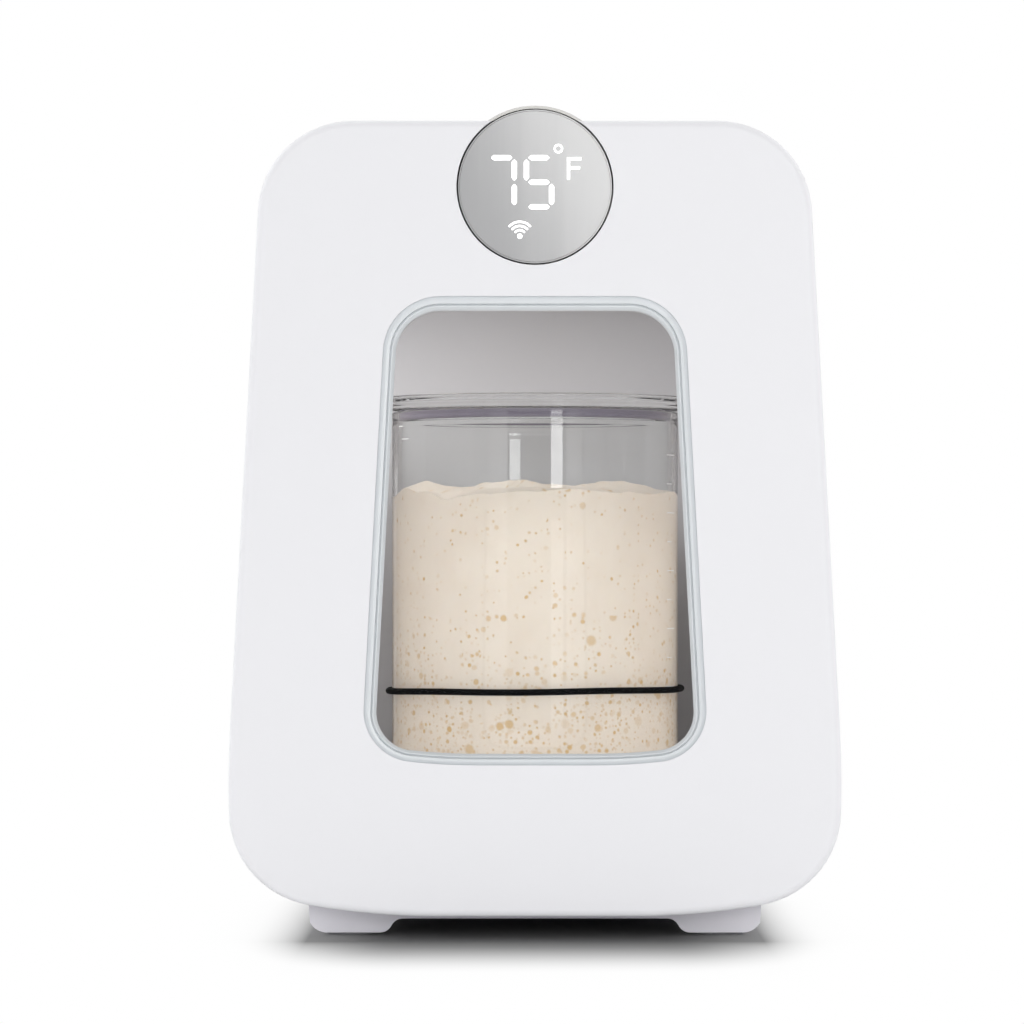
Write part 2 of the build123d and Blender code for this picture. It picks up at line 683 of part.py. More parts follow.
with BuildPart() as main_board:
    with BuildSketch(at_depth(BOARD_FRONT)):
        with Locations((BOARD_X, BOARD_Z)):
            Rectangle(*BOARD_SIZE)
        with Locations(*board_screw_xz):
            Circle(PILOT_RADIUS, mode=Mode.SUBTRACT)
    extrude(amount=-BOARD_THICKNESS)
save(main_board.part, "main_board")
save(screws(board_screw_xz, BOARD_FRONT - HEAD_HEIGHT, HEAD_HEIGHT, BOARD_SCREW_TIP), "board_screws")

CABLE_X = -70.0
CONNECTOR_FRONT = 188.0
CONNECTOR_SIZE = (11.0, 8.0)
CAPACITOR_PLACES = ((-6.0, -20.0), (8.0, -22.0))
CAPACITOR_RADIUS = 5.0
CHIP_THICKNESS = 2.0
LARGE_CHIP_RISE = 8.0
LARGE_CHIP_SIDE = 14.0
SMALL_CHIP_PLACES = ((-4.0, 24.0), (9.0, -4.0))
SMALL_CHIP_SIZE = (8.0, 5.0)
connector_z = BOARD_Z + BOARD_SIZE[1] / 2 - CONNECTOR_SIZE[1] / 2
with BuildPart() as board_parts:
    with BuildSketch(at_depth(CONNECTOR_FRONT)):
        with Locations((CABLE_X, connector_z)):
            Rectangle(*CONNECTOR_SIZE)
        with Locations(*[(BOARD_X + across, BOARD_Z + up) for across, up in CAPACITOR_PLACES]):
            Circle(CAPACITOR_RADIUS)
    extrude(amount=-(BOARD_FRONT - CONNECTOR_FRONT))
    with BuildSketch(at_depth(BOARD_FRONT - CHIP_THICKNESS)):
        with Locations((BOARD_X, BOARD_Z + LARGE_CHIP_RISE)):
            Rectangle(LARGE_CHIP_SIDE, LARGE_CHIP_SIDE)
        with Locations(*[(BOARD_X + across, BOARD_Z + up) for across, up in SMALL_CHIP_PLACES]):
            Rectangle(*SMALL_CHIP_SIZE)
    extrude(amount=-CHIP_THICKNESS)
save(board_parts.part, "board_parts")


# Base with four feet, and their pads
BASE_FRONT = 33.0
BASE_BACK = 222.0
SKIRT_BOTTOM = 5.9
FOOT_BOTTOM = 1.0
FOOT_INNER = 54.0
FOOT_SLOPE = 46.0
FOOT_FLAT = 72.5
FOOT_OUTER = 78.4
FOOT_HEEL = 4.5
BASE_EDGE = 79.5
BASE_TOP = 20.0
BASE_CUT_WIDTH = 200.0
FOOT_DEPTHS = ((33.0, 75.0), (180.0, 222.0))
PAD_X = (57.0, 73.0)
PAD_MARGIN = 5.0
PAD_CORNER = 5.0
BASE_HOLE_CLEARANCE = 0.1
with BuildPart() as base:
    with BuildSketch(at_depth(BASE_FRONT)) as base_profile:
        with BuildLine():
            skirt = Line((0, SKIRT_BOTTOM), (FOOT_SLOPE, SKIRT_BOTTOM))
            middle = ((FOOT_SLOPE + FOOT_INNER) / 2, (SKIRT_BOTTOM + FOOT_BOTTOM) / 2)
            slope = TangentArc(skirt @ 1, middle, tangent=(1, 0))
            toe = TangentArc(slope @ 1, (FOOT_INNER, FOOT_BOTTOM), tangent=slope % 1)
            sole = Line(toe @ 1, (FOOT_FLAT, FOOT_BOTTOM))
            heel = TangentArc(sole @ 1, (FOOT_OUTER, FOOT_HEEL), tangent=(1, 0))
            Polyline(heel @ 1, (BASE_EDGE, BASE_TOP), (0, BASE_TOP))
            mirror(about=Plane.YZ)
        make_face()
        add(body_outline, mode=Mode.SUBTRACT)
    extrude(amount=-(BASE_BACK - BASE_FRONT))
    with BuildSketch(Plane.XY):
        with Locations((0, FACE_Y + (FOOT_DEPTHS[0][1] + FOOT_DEPTHS[1][0]) / 2)):
            Rectangle(BASE_CUT_WIDTH, FOOT_DEPTHS[1][0] - FOOT_DEPTHS[0][1])
    extrude(amount=SKIRT_BOTTOM, mode=Mode.SUBTRACT)
    with BuildSketch(Plane.XY.offset(SKIRT_BOTTOM)):
        with Locations(*base_screw_xy):
            Circle(HEAD_RADIUS + HEAD_CLEARANCE)
    extrude(amount=HEAD_HEIGHT, mode=Mode.SUBTRACT)
    with BuildSketch(Plane.XY.offset(SKIRT_BOTTOM)):
        with Locations(*base_screw_xy):
            Circle(PILOT_RADIUS + BASE_HOLE_CLEARANCE)
    extrude(amount=OUTLINE_BOTTOM - SKIRT_BOTTOM, mode=Mode.SUBTRACT)
save(base.part, "base")

with BuildPart() as foot_pads:
    with BuildSketch(Plane.XY):
        for side in MIRROR_X:
            for front, back in FOOT_DEPTHS:
                with Locations((side * sum(PAD_X) / 2, FACE_Y + (front + back) / 2)):
                    RectangleRounded(PAD_X[1] - PAD_X[0], back - front - 2 * PAD_MARGIN, PAD_CORNER)
    extrude(amount=FOOT_BOTTOM)
save(foot_pads.part, "foot_pads")

with BuildPart() as base_screws:
    with BuildSketch(Plane.XY.offset(SKIRT_BOTTOM)):
        with Locations(*base_screw_xy):
            Circle(HEAD_RADIUS)
    extrude(amount=HEAD_HEIGHT)
    with BuildSketch(Plane.XY.offset(SKIRT_BOTTOM + HEAD_HEIGHT)):
        with Locations(*base_screw_xy):
            Circle(SCREW_RADIUS)
    extrude(amount=OUTLINE_BOTTOM - SKIRT_BOTTOM - HEAD_HEIGHT + WALL)
save(base_screws.part, "base_screws")


# Hinge arms on the cabinet and their screws
hinge_y = FACE_Y + HINGE_DEPTH
with BuildPart() as hinge_arms:
    for height in HINGE_HEIGHTS:
        with BuildSketch(Plane.XY.offset(height - ARM_HALF_THICKNESS)):
            with Locations((HINGE_X, hinge_y)):
                Circle(ARM_EYE_RADIUS)
            arm_length = CABINET_FRONT - HINGE_DEPTH
            with Locations((HINGE_X, hinge_y + arm_length / 2)):
                Rectangle(2 * ARM_HALF_WIDTH, arm_length)
            with Locations((HINGE_X, hinge_y)):
                Circle(PIN_RADIUS + RUNNING, mode=Mode.SUBTRACT)
        extrude(amount=2 * ARM_HALF_THICKNESS)
    with BuildSketch(at_depth(CABINET_FRONT)):
        with Locations(*foot_xz):
            Rectangle(foot_width, 2 * HINGE_FOOT_HALF)
        with Locations(*hinge_screw_xz):
            Circle(PILOT_RADIUS, mode=Mode.SUBTRACT)
    extrude(amount=-HINGE_FOOT_THICKNESS)
    with BuildSketch(at_depth(CABINET_FRONT)):
        with Locations(*hinge_screw_xz):
            Circle(HEAD_RADIUS + RUNNING)
    extrude(amount=-HEAD_HEIGHT, mode=Mode.SUBTRACT)
save(hinge_arms.part, "hinge_arms")
save(screws(hinge_screw_xz, CABINET_FRONT, HEAD_HEIGHT, HINGE_SCREW_TIP), "hinge_screws")


# Door shell: skin, rim, saddle round the barrel, screw posts and hinge slots
POST_RADIUS = 3.5
POST_POINTS = ((-92.0, 110.0), (-83.0, 240.0), (82.0, 240.0), (88.0, 110.0), (-78.0, 26.0), (78.0, 26.0))
POST_HOLE_FRONT = 12.0
SLOT_FRONT = 5.0
SLOT_LEFT = 86.5
SLOT_WIDTH = 30.0
PANEL_EDGE = 2.0
slot_xz = [(SLOT_LEFT + SLOT_WIDTH / 2, height) for height in HINGE_HEIGHTS]
with BuildPart() as door_shell:
    with BuildSketch(at_depth(0)):
        add(body_outline)
    extrude(amount=-SHELL_BACK)
    fillet(door_shell.edges().group_by(Axis.Y)[0], radius=FRONT_EDGE_RADIUS)
    with BuildSketch(at_depth(DOOR_SKIN)):
        add(outline(DOOR_WALL))
    extrude(amount=-(SHELL_BACK - DOOR_SKIN), mode=Mode.SUBTRACT)
    with BuildSketch(at_depth(DOOR_SKIN)):
        add(outline(DOOR_WALL / 2))
        with Locations((0, DIAL_Z)):
            Circle(SADDLE_RADIUS + SADDLE_WALL, mode=Mode.INTERSECT)
    extrude(amount=-(SHELL_BACK - DOOR_SKIN))
    with BuildSketch(at_depth(DOOR_SKIN)):
        with Locations((0, DIAL_Z)):
            Circle(SADDLE_RADIUS)
    extrude(amount=-(SHELL_BACK - DOOR_SKIN), mode=Mode.SUBTRACT)
    with BuildSketch(at_depth(0)):
        with Locations((0, DIAL_Z)):
            Circle(BARREL_BORE)
        add(window_outline)
    extrude(amount=-DOOR_SKIN, mode=Mode.SUBTRACT)
    with BuildSketch(at_depth(DOOR_SKIN)):
        with Locations(*POST_POINTS):
            Circle(POST_RADIUS)
    extrude(amount=-(SHELL_BACK - DOOR_SKIN))
    with BuildSketch(at_depth(POST_HOLE_FRONT)):
        with Locations(*POST_POINTS):
            Circle(PILOT_RADIUS)
    extrude(amount=-(SHELL_BACK - POST_HOLE_FRONT), mode=Mode.SUBTRACT)
    with BuildSketch(at_depth(SLOT_FRONT)):
        with Locations(*slot_xz):
            Rectangle(SLOT_WIDTH, 2 * SLOT_HALF)
    extrude(amount=-(SHELL_BACK - SLOT_FRONT), mode=Mode.SUBTRACT)
save(door_shell.part, "door_shell")

with BuildPart() as door_panel:
    with BuildSketch(at_depth(SHELL_BACK)):
        add(outline(PANEL_INSET))
    extrude(amount=-(PANEL_BACK - SHELL_BACK))
    fillet(door_panel.edges().group_by(Axis.Y)[-1], radius=PANEL_EDGE)
    with BuildSketch(at_depth(SHELL_BACK)):
        add(glass(-PANEL_REVEAL))
        with Locations((0, DIAL_Z)):
            Circle(SADDLE_RADIUS)
        with Locations(*slot_xz):
            Rectangle(SLOT_WIDTH, 2 * SLOT_HALF)
        with Locations(*POST_POINTS):
            Circle(PILOT_RADIUS)
    extrude(amount=-(PANEL_BACK - SHELL_BACK), mode=Mode.SUBTRACT)
    with BuildSketch(at_depth(PANEL_BACK - HEAD_HEIGHT)):
        with Locations(*POST_POINTS):
            Circle(HEAD_RADIUS + HEAD_CLEARANCE)
    extrude(amount=-HEAD_HEIGHT, mode=Mode.SUBTRACT)
save(door_panel.part, "door_panel")
save(rear_screws(POST_POINTS, PANEL_BACK, HEAD_HEIGHT, POST_HOLE_FRONT), "door_screws")


# Window: trim, two panes and the spacer between them
TRIM_FRONT = 0.5
TRIM_GAP = 0.15
TRIM_BACK = 8.0
TRIM_GROOVE = 2.45
TRIM_GROOVE_DEPTH = 1.0
TRIM_STEP = 2.9
TRIM_STEP_DEPTH = 0.5
TRIM_REBATE = 2.0
OUTER_PANE_OVERLAP = 1.8
INNER_PANE_OVERLAP = 3.0
SPACER_OUTSIDE = 1.9
SPACER_INSIDE = 0.9
SPACER_BACK = 21.0
pane_back = PANE_FRONT + PANE_THICKNESS
with BuildPart() as window_trim:
    with BuildSketch(at_depth(TRIM_FRONT)):
        add(window(TRIM_GAP))
        add(glass_outline, mode=Mode.SUBTRACT)
    extrude(amount=-(PANE_FRONT - TRIM_FRONT))
    with BuildSketch(at_depth(PANE_FRONT)):
        add(window(TRIM_GAP))
        add(glass(-TRIM_REBATE), mode=Mode.SUBTRACT)
    extrude(amount=-(TRIM_BACK - PANE_FRONT))
    with BuildSketch(at_depth(TRIM_FRONT)):
        add(window(TRIM_STEP))
    extrude(amount=-TRIM_STEP_DEPTH, mode=Mode.SUBTRACT)
    with BuildSketch(at_depth(TRIM_FRONT)):
        add(window(TRIM_GROOVE))
        add(window(TRIM_STEP), mode=Mode.SUBTRACT)
    extrude(amount=-TRIM_GROOVE_DEPTH, mode=Mode.SUBTRACT)
save(window_trim.part, "window_trim")

with BuildPart() as outer_pane:
    with BuildSketch(at_depth(PANE_FRONT)):
        add(glass(-OUTER_PANE_OVERLAP))
    extrude(amount=-PANE_THICKNESS)
save(outer_pane.part, "outer_pane")

with BuildPart() as window_spacer:
    with BuildSketch(at_depth(pane_back)):
        add(glass(-SPACER_OUTSIDE))
        add(glass(-SPACER_INSIDE), mode=Mode.SUBTRACT)
    extrude(amount=-(SPACER_BACK - pane_back))
save(window_spacer.part, "window_spacer")

with BuildPart() as inner_pane:
    with BuildSketch(at_depth(SPACER_BACK)):
        add(glass(-INNER_PANE_OVERLAP))
    extrude(amount=-PANE_THICKNESS)
save(inner_pane.part, "inner_pane")


# Inside the door: foam, magnets, hinge blocks and pins
MAGNET_FRONT = 19.0
MAGNET_SIZE = (6.0, 20.0)
BLOCK_LEFT = 82.0
BLOCK_WIDTH = 30.0
BLOCK_SIDE_GAP = 0.1
BLOCK_BACK_GAP = 0.2
block_xz = [(BLOCK_LEFT + BLOCK_WIDTH / 2, height) for height in HINGE_HEIGHTS]
foam_block_xz = [(x - FOAM_GAP, height) for x, height in block_xz]
with BuildPart() as hinge_blocks:
    with BuildSketch(at_depth(SLOT_FRONT)):
        with Locations(*block_xz):
            Rectangle(BLOCK_WIDTH, 2 * BLOCK_HALF)
        add(outline(DOOR_WALL + BLOCK_SIDE_GAP), mode=Mode.INTERSECT)
        with Locations(*slot_xz):
            Rectangle(SLOT_WIDTH, 2 * SLOT_HALF, mode=Mode.SUBTRACT)
    extrude(amount=-(SHELL_BACK - SLOT_FRONT - BLOCK_BACK_GAP))
    with BuildSketch(Plane.XY.offset(HINGE_HEIGHTS[0] - BLOCK_HALF)):
        with Locations((HINGE_X, hinge_y)):
            Circle(PIN_RADIUS)
    extrude(amount=HINGE_HEIGHTS[1] - HINGE_HEIGHTS[0] + 2 * BLOCK_HALF, mode=Mode.SUBTRACT)
save(hinge_blocks.part, "hinge_blocks")

with BuildPart() as hinge_pins:
    for height in HINGE_HEIGHTS:
        with BuildSketch(Plane.XY.offset(height - BLOCK_HALF)):
            with Locations((HINGE_X, hinge_y)):
                Circle(PIN_RADIUS)
        extrude(amount=2 * BLOCK_HALF)
save(hinge_pins.part, "hinge_pins")

with BuildPart() as door_magnets:
    with BuildSketch(at_depth(MAGNET_FRONT)):
        with Locations(*strike_xz):
            Rectangle(*MAGNET_SIZE)
    extrude(amount=-(SHELL_BACK - MAGNET_FRONT))
save(door_magnets.part, "door_magnets")

with BuildPart() as door_foam:
    with BuildSketch(at_depth(DOOR_SKIN + FOAM_GAP)):
        add(outline(DOOR_WALL + FOAM_GAP))
        add(window(-FOAM_GAP), mode=Mode.SUBTRACT)
        with Locations((0, DIAL_Z)):
            Circle(SADDLE_RADIUS + SADDLE_WALL + FOAM_GAP, mode=Mode.SUBTRACT)
        with Locations(*POST_POINTS):
            Circle(POST_RADIUS + FOAM_GAP, mode=Mode.SUBTRACT)
        with Locations(*foam_block_xz):
            Rectangle(BLOCK_WIDTH, 2 * (BLOCK_HALF + FOAM_GAP), mode=Mode.SUBTRACT)
        with Locations(*strike_xz):
            Rectangle(MAGNET_SIZE[0] + 2 * FOAM_GAP, MAGNET_SIZE[1] + 2 * FOAM_GAP, mode=Mode.SUBTRACT)
    extrude(amount=-(SHELL_BACK - DOOR_SKIN - 2 * FOAM_GAP))
save(door_foam.part, "door_foam")

SEAL_OUTER = (144.0, 211.0)
SEAL_WIDTH = 5.0
SEAL_CENTRE = 121.5
SEAL_RADIUS = 12.0
SEAL_GAP = 0.3
with BuildPart() as door_seal:
    with BuildSketch(at_depth(PANEL_BACK)):
        with Locations((0, SEAL_CENTRE)):
            RectangleRounded(*SEAL_OUTER, SEAL_RADIUS)
            RectangleRounded(
                SEAL_OUTER[0] - 2 * SEAL_WIDTH,
                SEAL_OUTER[1] - 2 * SEAL_WIDTH,
                SEAL_RADIUS - SEAL_WIDTH,
                mode=Mode.SUBTRACT,
            )
    extrude(amount=-(CABINET_FRONT - PANEL_BACK - SEAL_GAP))
save(door_seal.part, "door_seal")


# Dial: fixed barrel, sliding carrier with the display, and the turning ring
BARREL_STEP = 20.0
BARREL_THROAT = 23.3
WEB_FRONT = 22.0
WEB_BACK = 25.0
WEB_OVERLAP = 1.0
GUIDE_RADIUS = 8.5
GUIDE_FRONT = 18.0
with BuildPart() as dial_barrel:
    with BuildSketch(at_depth(BARREL_FRONT)):
        with Locations((0, DIAL_Z)):
            Circle(BARREL_RADIUS)
            Circle(BARREL_BORE, mode=Mode.SUBTRACT)
    extrude(amount=-(BARREL_STEP - BARREL_FRONT))
    with BuildSketch(at_depth(BARREL_STEP)):
        with Locations((0, DIAL_Z)):
            Circle(BARREL_RADIUS)
            Circle(BARREL_THROAT, mode=Mode.SUBTRACT)
    extrude(amount=-(CABINET_FRONT - BARREL_STEP))
    with BuildSketch(at_depth(CABINET_FRONT)):
        with Locations((0, DIAL_Z)):
            Circle(SPIGOT_RADIUS)
            Circle(BARREL_THROAT, mode=Mode.SUBTRACT)
    extrude(amount=-(FRAME_BACK - CABINET_FRONT))
    with BuildSketch(at_depth(WEB_FRONT)):
        with Locations((0, DIAL_Z)):
            Circle(BARREL_THROAT + WEB_OVERLAP)
    extrude(amount=-(WEB_BACK - WEB_FRONT))
    with BuildSketch(at_depth(GUIDE_FRONT)):
        with Locations((0, DIAL_Z)):
            Circle(GUIDE_RADIUS)
    extrude(amount=-(WEB_FRONT - GUIDE_FRONT))
    with BuildSketch(at_depth(GUIDE_FRONT)):
        with Locations((0, DIAL_Z)):
            Circle(STEM_RADIUS + RUNNING)
    extrude(amount=-(WEB_BACK - GUIDE_FRONT), mode=Mode.SUBTRACT)
save(dial_barrel.part, "dial_barrel")

RING_BACK = 16.0
RING_LIP = 24.15
LIP_OVERLAP = 0.5
LENS_GAP = 0.1
with BuildPart() as dial_ring:
    with BuildSketch(at_depth(DISC_FRONT)):
        with Locations((0, DIAL_Z)):
            Circle(RING_RADIUS)
            Circle(RING_BORE, mode=Mode.SUBTRACT)
    extrude(amount=-(RING_BACK - DISC_FRONT))
    with BuildSketch(at_depth(DISC_FRONT)):
        with Locations((0, DIAL_Z)):
            Circle(RING_MOUTH)
    extrude(amount=-(LENS_BACK + LENS_GAP - DISC_FRONT), mode=Mode.SUBTRACT)
    with BuildSketch(at_depth(LENS_BACK + LENS_GAP)):
        with Locations((0, DIAL_Z)):
            Circle(RING_BORE + LIP_OVERLAP)
            Circle(RING_LIP, mode=Mode.SUBTRACT)
    extrude(amount=-(CARRIER_FRONT - LENS_BACK - 2 * LENS_GAP))
save(dial_ring.part, "dial_ring")

CODE_INNER = 20.0
CODE_FRONT = 15.0
CODE_BACK = 15.6
CODE_SLOT_PLACE = 22.0
CODE_SLOT_COUNT = 24
CODE_SLOT_SIZE = (2.6, 1.6)
with BuildPart() as code_ring:
    with BuildSketch(at_depth(CODE_FRONT)):
        with Locations((0, DIAL_Z)):
            Circle(RING_BORE)
            Circle(CODE_INNER, mode=Mode.SUBTRACT)
            with PolarLocations(CODE_SLOT_PLACE, CODE_SLOT_COUNT):
                Rectangle(*CODE_SLOT_SIZE, mode=Mode.SUBTRACT)
    extrude(amount=-(CODE_BACK - CODE_FRONT))
save(code_ring.part, "code_ring")

CARRIER_WALL = 3.0
CARRIER_FLOOR = 2.0
with BuildPart() as dial_carrier:
    with BuildSketch(at_depth(CARRIER_FRONT)):
        with Locations((0, DIAL_Z)):
            Circle(RING_BORE - RUNNING)
            Circle(RING_BORE - CARRIER_WALL, mode=Mode.SUBTRACT)
    extrude(amount=-(CARRIER_BACK - CARRIER_FRONT))
    with BuildSketch(at_depth(CARRIER_BACK - CARRIER_FLOOR)):
        with Locations((0, DIAL_Z)):
            Circle(RING_BORE - CARRIER_FLOOR)
    extrude(amount=-CARRIER_FLOOR)
    with BuildSketch(at_depth(CARRIER_BACK)):
        with Locations((0, DIAL_Z)):
            Circle(STEM_RADIUS)
    extrude(amount=-(STEM_BACK - CARRIER_BACK))
save(dial_carrier.part, "dial_carrier")

BOARD_RADIUS = 24.0
with BuildPart() as display_board:
    with BuildSketch(at_depth(LENS_BACK)):
        with Locations((0, DIAL_Z)):
            Circle(BOARD_RADIUS)
    extrude(amount=-(CARRIER_FRONT - LENS_BACK))
save(display_board.part, "display_board")


# Display segments: two digits, a degree ring, the letter F and a generic signal symbol
DIGIT_Z = 259.84
DIGIT_CENTRES = (-11.39, 1.37)
DIGIT_HALF_WIDTH = 4.31
DIGIT_HALF_HEIGHT = 8.41
SEGMENT_LENGTH = 7.5
SEGMENT_THICKNESS = 1.78
SEGMENT_TIP = 1.0
SEGMENT_ROUND = 0.35
SEGMENT_DEPTH = 0.4
DEGREE_CENTRE = (8.0, 271.35)
DEGREE_RADII = (1.6, 0.92)
LETTER_LEFT = 10.95
LETTER_TOP = 268.4
LETTER_HEIGHT = 7.7
LETTER_STROKE = 1.03
LETTER_BARS = ((4.96, 267.88), (4.45, 264.75))
SIGNAL_CENTRE = (-5.2, 241.4)
SIGNAL_DOT = 0.9
SIGNAL_RADII = (4.92, 3.49, 2.05)
SIGNAL_STROKE = 0.75
SIGNAL_HALF_ANGLE = 46.0
SEVEN_SEGMENTS = ("top", "upper_right", "lower_right")
FIVE_SEGMENTS = ("top", "upper_left", "middle", "lower_right", "bottom")
SEGMENT_PLACES = {
    "top": (0, 2, 0),
    "middle": (0, 0, 0),
    "bottom": (0, -2, 0),
    "upper_left": (-1, 1, 90),
    "upper_right": (1, 1, 90),
    "lower_right": (1, -1, 90),
}


def segment_bar(turn):
    """One display segment: a bar with pointed, slightly rounded ends."""
    half = SEGMENT_LENGTH / 2
    side = SEGMENT_THICKNESS / 2
    shoulder = half - SEGMENT_TIP
    upper = [(-half, 0), (-shoulder, side), (shoulder, side), (half, 0)]
    lower = [(shoulder, -side), (-shoulder, -side)]
    with BuildSketch() as bar:
        with BuildLine():
            Polyline(*upper, *lower, close=True)
        make_face()
        fillet(bar.vertices(), radius=SEGMENT_ROUND)
    return bar.sketch.rotate(Axis.Z, turn)


def display_symbols():
    """Everything that the display shows, as one sketch on XY."""
    bars = []
    for centre, lit in zip(DIGIT_CENTRES, (SEVEN_SEGMENTS, FIVE_SEGMENTS)):
        for name in lit:
            across, up, turn = SEGMENT_PLACES[name]
            x = centre + across * DIGIT_HALF_WIDTH
            z = DIGIT_Z + up * DIGIT_HALF_HEIGHT / 2
            bars.append(Pos(x, z) * segment_bar(turn))
    start = 90 - SIGNAL_HALF_ANGLE
    arcs = [CenterArc(SIGNAL_CENTRE, radius, start, 2 * SIGNAL_HALF_ANGLE) for radius in SIGNAL_RADII]
    with BuildSketch() as symbols:
        for bar in bars:
            add(bar)
        with Locations(DEGREE_CENTRE):
            Circle(DEGREE_RADII[0])
            Circle(DEGREE_RADII[1], mode=Mode.SUBTRACT)
        with Locations((LETTER_LEFT + LETTER_STROKE / 2, LETTER_TOP - LETTER_HEIGHT / 2)):
            Rectangle(LETTER_STROKE, LETTER_HEIGHT)
        for length, height in LETTER_BARS:
            with Locations((LETTER_LEFT + length / 2, height)):
                Rectangle(length, LETTER_STROKE)
        with Locations(SIGNAL_CENTRE):
            Circle(SIGNAL_DOT)
        for arc in arcs:
            SlotArc(arc, SIGNAL_STROKE)
    return symbols.sketch


symbols_sketch = display_symbols()
with BuildPart() as display_lens:
    with BuildSketch(at_depth(DISC_FRONT)):
        with Locations((0, DIAL_Z)):
            Circle(LENS_RADIUS)
    extrude(amount=-(LENS_BACK - DISC_FRONT))
    with BuildSketch(at_depth(DISC_FRONT)):
        add(symbols_sketch)
    extrude(amount=-SEGMENT_DEPTH, mode=Mode.SUBTRACT)
save(display_lens.part, "display_lens")

with BuildPart() as display_segments:
    with BuildSketch(at_depth(DISC_FRONT)):
        add(symbols_sketch)
    extrude(amount=-SEGMENT_DEPTH)
save(display_segments.part, "display_segments")


# Behind the dial: press switch with its plunger, encoder reader, control board and cable
PLUNGER_RADIUS = 1.7
PLUNGER_BACK = 29.5
SWITCH_FRONT = 27.5
SWITCH_SIDE = 12.0
SWITCH_BORE_BACK = 32.0
CONTROL_BACK = 35.6
READER_FRONT = 17.5
READER_WIDTH = 6.0
READER_RADII = (18.8, 22.8)
CABLE_RADIUS = 1.5
CABLE_START = (-8.0, 243.0)
CABLE_DEPTH = 192.0
CABLE_BEND = 14.0
with BuildPart() as switch_plunger:
    with BuildSketch(at_depth(STEM_BACK)):
        with Locations((0, DIAL_Z)):
            Circle(PLUNGER_RADIUS)
    extrude(amount=-(PLUNGER_BACK - STEM_BACK))
save(switch_plunger.part, "switch_plunger")

with BuildPart() as press_switch:
    with BuildSketch(at_depth(SWITCH_FRONT)):
        with Locations((0, DIAL_Z)):
            Rectangle(SWITCH_SIDE, SWITCH_SIDE)
    extrude(amount=-(FRAME_BACK - SWITCH_FRONT))
    with BuildSketch(at_depth(SWITCH_FRONT)):
        with Locations((0, DIAL_Z)):
            Circle(PLUNGER_RADIUS + RUNNING)
    extrude(amount=-(SWITCH_BORE_BACK - SWITCH_FRONT), mode=Mode.SUBTRACT)
save(press_switch.part, "press_switch")

with BuildPart() as encoder_reader:
    with BuildSketch(at_depth(READER_FRONT)):
        with Locations((0, DIAL_Z - sum(READER_RADII) / 2)):
            Rectangle(READER_WIDTH, READER_RADII[1] - READER_RADII[0])
    extrude(amount=-(WEB_FRONT - READER_FRONT))
save(encoder_reader.part, "encoder_reader")

with BuildPart() as control_board:
    with BuildSketch(at_depth(FRAME_BACK)):
        with Locations((0, DIAL_Z)):
            Circle(SPIGOT_RADIUS)
    extrude(amount=-(CONTROL_BACK - FRAME_BACK))
save(control_board.part, "control_board")

with BuildPart() as dial_cable:
    with BuildLine() as cable_path:
        FilletPolyline(
            (CABLE_START[0], FACE_Y + CONTROL_BACK, CABLE_START[1]),
            (CABLE_START[0], FACE_Y + CABLE_DEPTH, CABLE_START[1]),
            (CABLE_X, FACE_Y + CABLE_DEPTH, CABLE_START[1]),
            (CABLE_X, FACE_Y + CABLE_DEPTH, BOARD_Z + BOARD_SIZE[1] / 2),
            radius=CABLE_BEND,
        )
    with BuildSketch(Plane(cable_path.line @ 0, z_dir=cable_path.line % 0)):
        Circle(CABLE_RADIUS)
    sweep()
save(dial_cable.part, "dial_cable")


# Jar with its starter, marker band and lid
JAR_FOOT_ROUND = 6.4
JAR_BASE = 5.0
STARTER_GAP = 0.3
STARTER_CROWN = 162.0
LID_EDGE = 1.5
PLUG_HOLLOW = 3.0
GASKET_RADII = (47.45, 49.0)
GASKET_HEIGHTS = (180.6, 183.6)
jar_axis = Axis((0, JAR_Y, 0), (0, 0, 1))
jar_plane = Plane.XZ.offset(-JAR_Y)
jar_inner = JAR_RADIUS - JAR_WALL
jar_inside = JAR_BOTTOM + JAR_BASE
with BuildPart() as jar_body:
    with BuildSketch(jar_plane) as jar_profile:
        with Locations((0, JAR_BOTTOM)):
            Rectangle(JAR_RADIUS, JAR_TOP - JAR_BOTTOM, align=(Align.MIN, Align.MIN))
        with Locations((0, jar_inside)):
            Rectangle(jar_inner, JAR_TOP - jar_inside, align=(Align.MIN, Align.MIN), mode=Mode.SUBTRACT)
        outer_foot = jar_profile.vertices().group_by(Axis.Y)[0].sort_by(Axis.X)[-1]
        inner_foot = jar_profile.vertices().group_by(Axis.Y)[1].sort_by(Axis.X)[-1]
        fillet([outer_foot, inner_foot], radius=JAR_FOOT_ROUND)
    revolve(axis=jar_axis)
save(jar_body.part, "jar_body")

crown_rise = STARTER_CROWN - STARTER_TOP
crown_half = jar_inner - STARTER_GAP
crown_radius = (crown_half**2 + crown_rise**2) / (2 * crown_rise)
crown_turn = degrees(asin(crown_half / crown_radius))
with BuildPart() as starter:
    with BuildSketch(jar_plane) as starter_profile:
        with BuildLine():
            floor_height = jar_inside + STARTER_GAP
            floor = Line((0, floor_height), (jar_inner - JAR_FOOT_ROUND, floor_height))
            corner = JernArc(floor @ 1, (1, 0), JAR_FOOT_ROUND - STARTER_GAP, 90)
            wall = Line(corner @ 1, (jar_inner - STARTER_GAP, STARTER_TOP))
            CenterArc((0, STARTER_CROWN - crown_radius), crown_radius, 90 - crown_turn, crown_turn)
            Line((0, STARTER_CROWN), floor @ 0)
        make_face()
    revolve(axis=jar_axis)
save(starter.part, "starter")

with BuildPart() as marker_band:
    with Locations((0, JAR_Y, BAND_HEIGHT)):
        Torus(JAR_RADIUS + BAND_RADIUS + RUNNING, BAND_RADIUS)
save(marker_band.part, "marker_band")

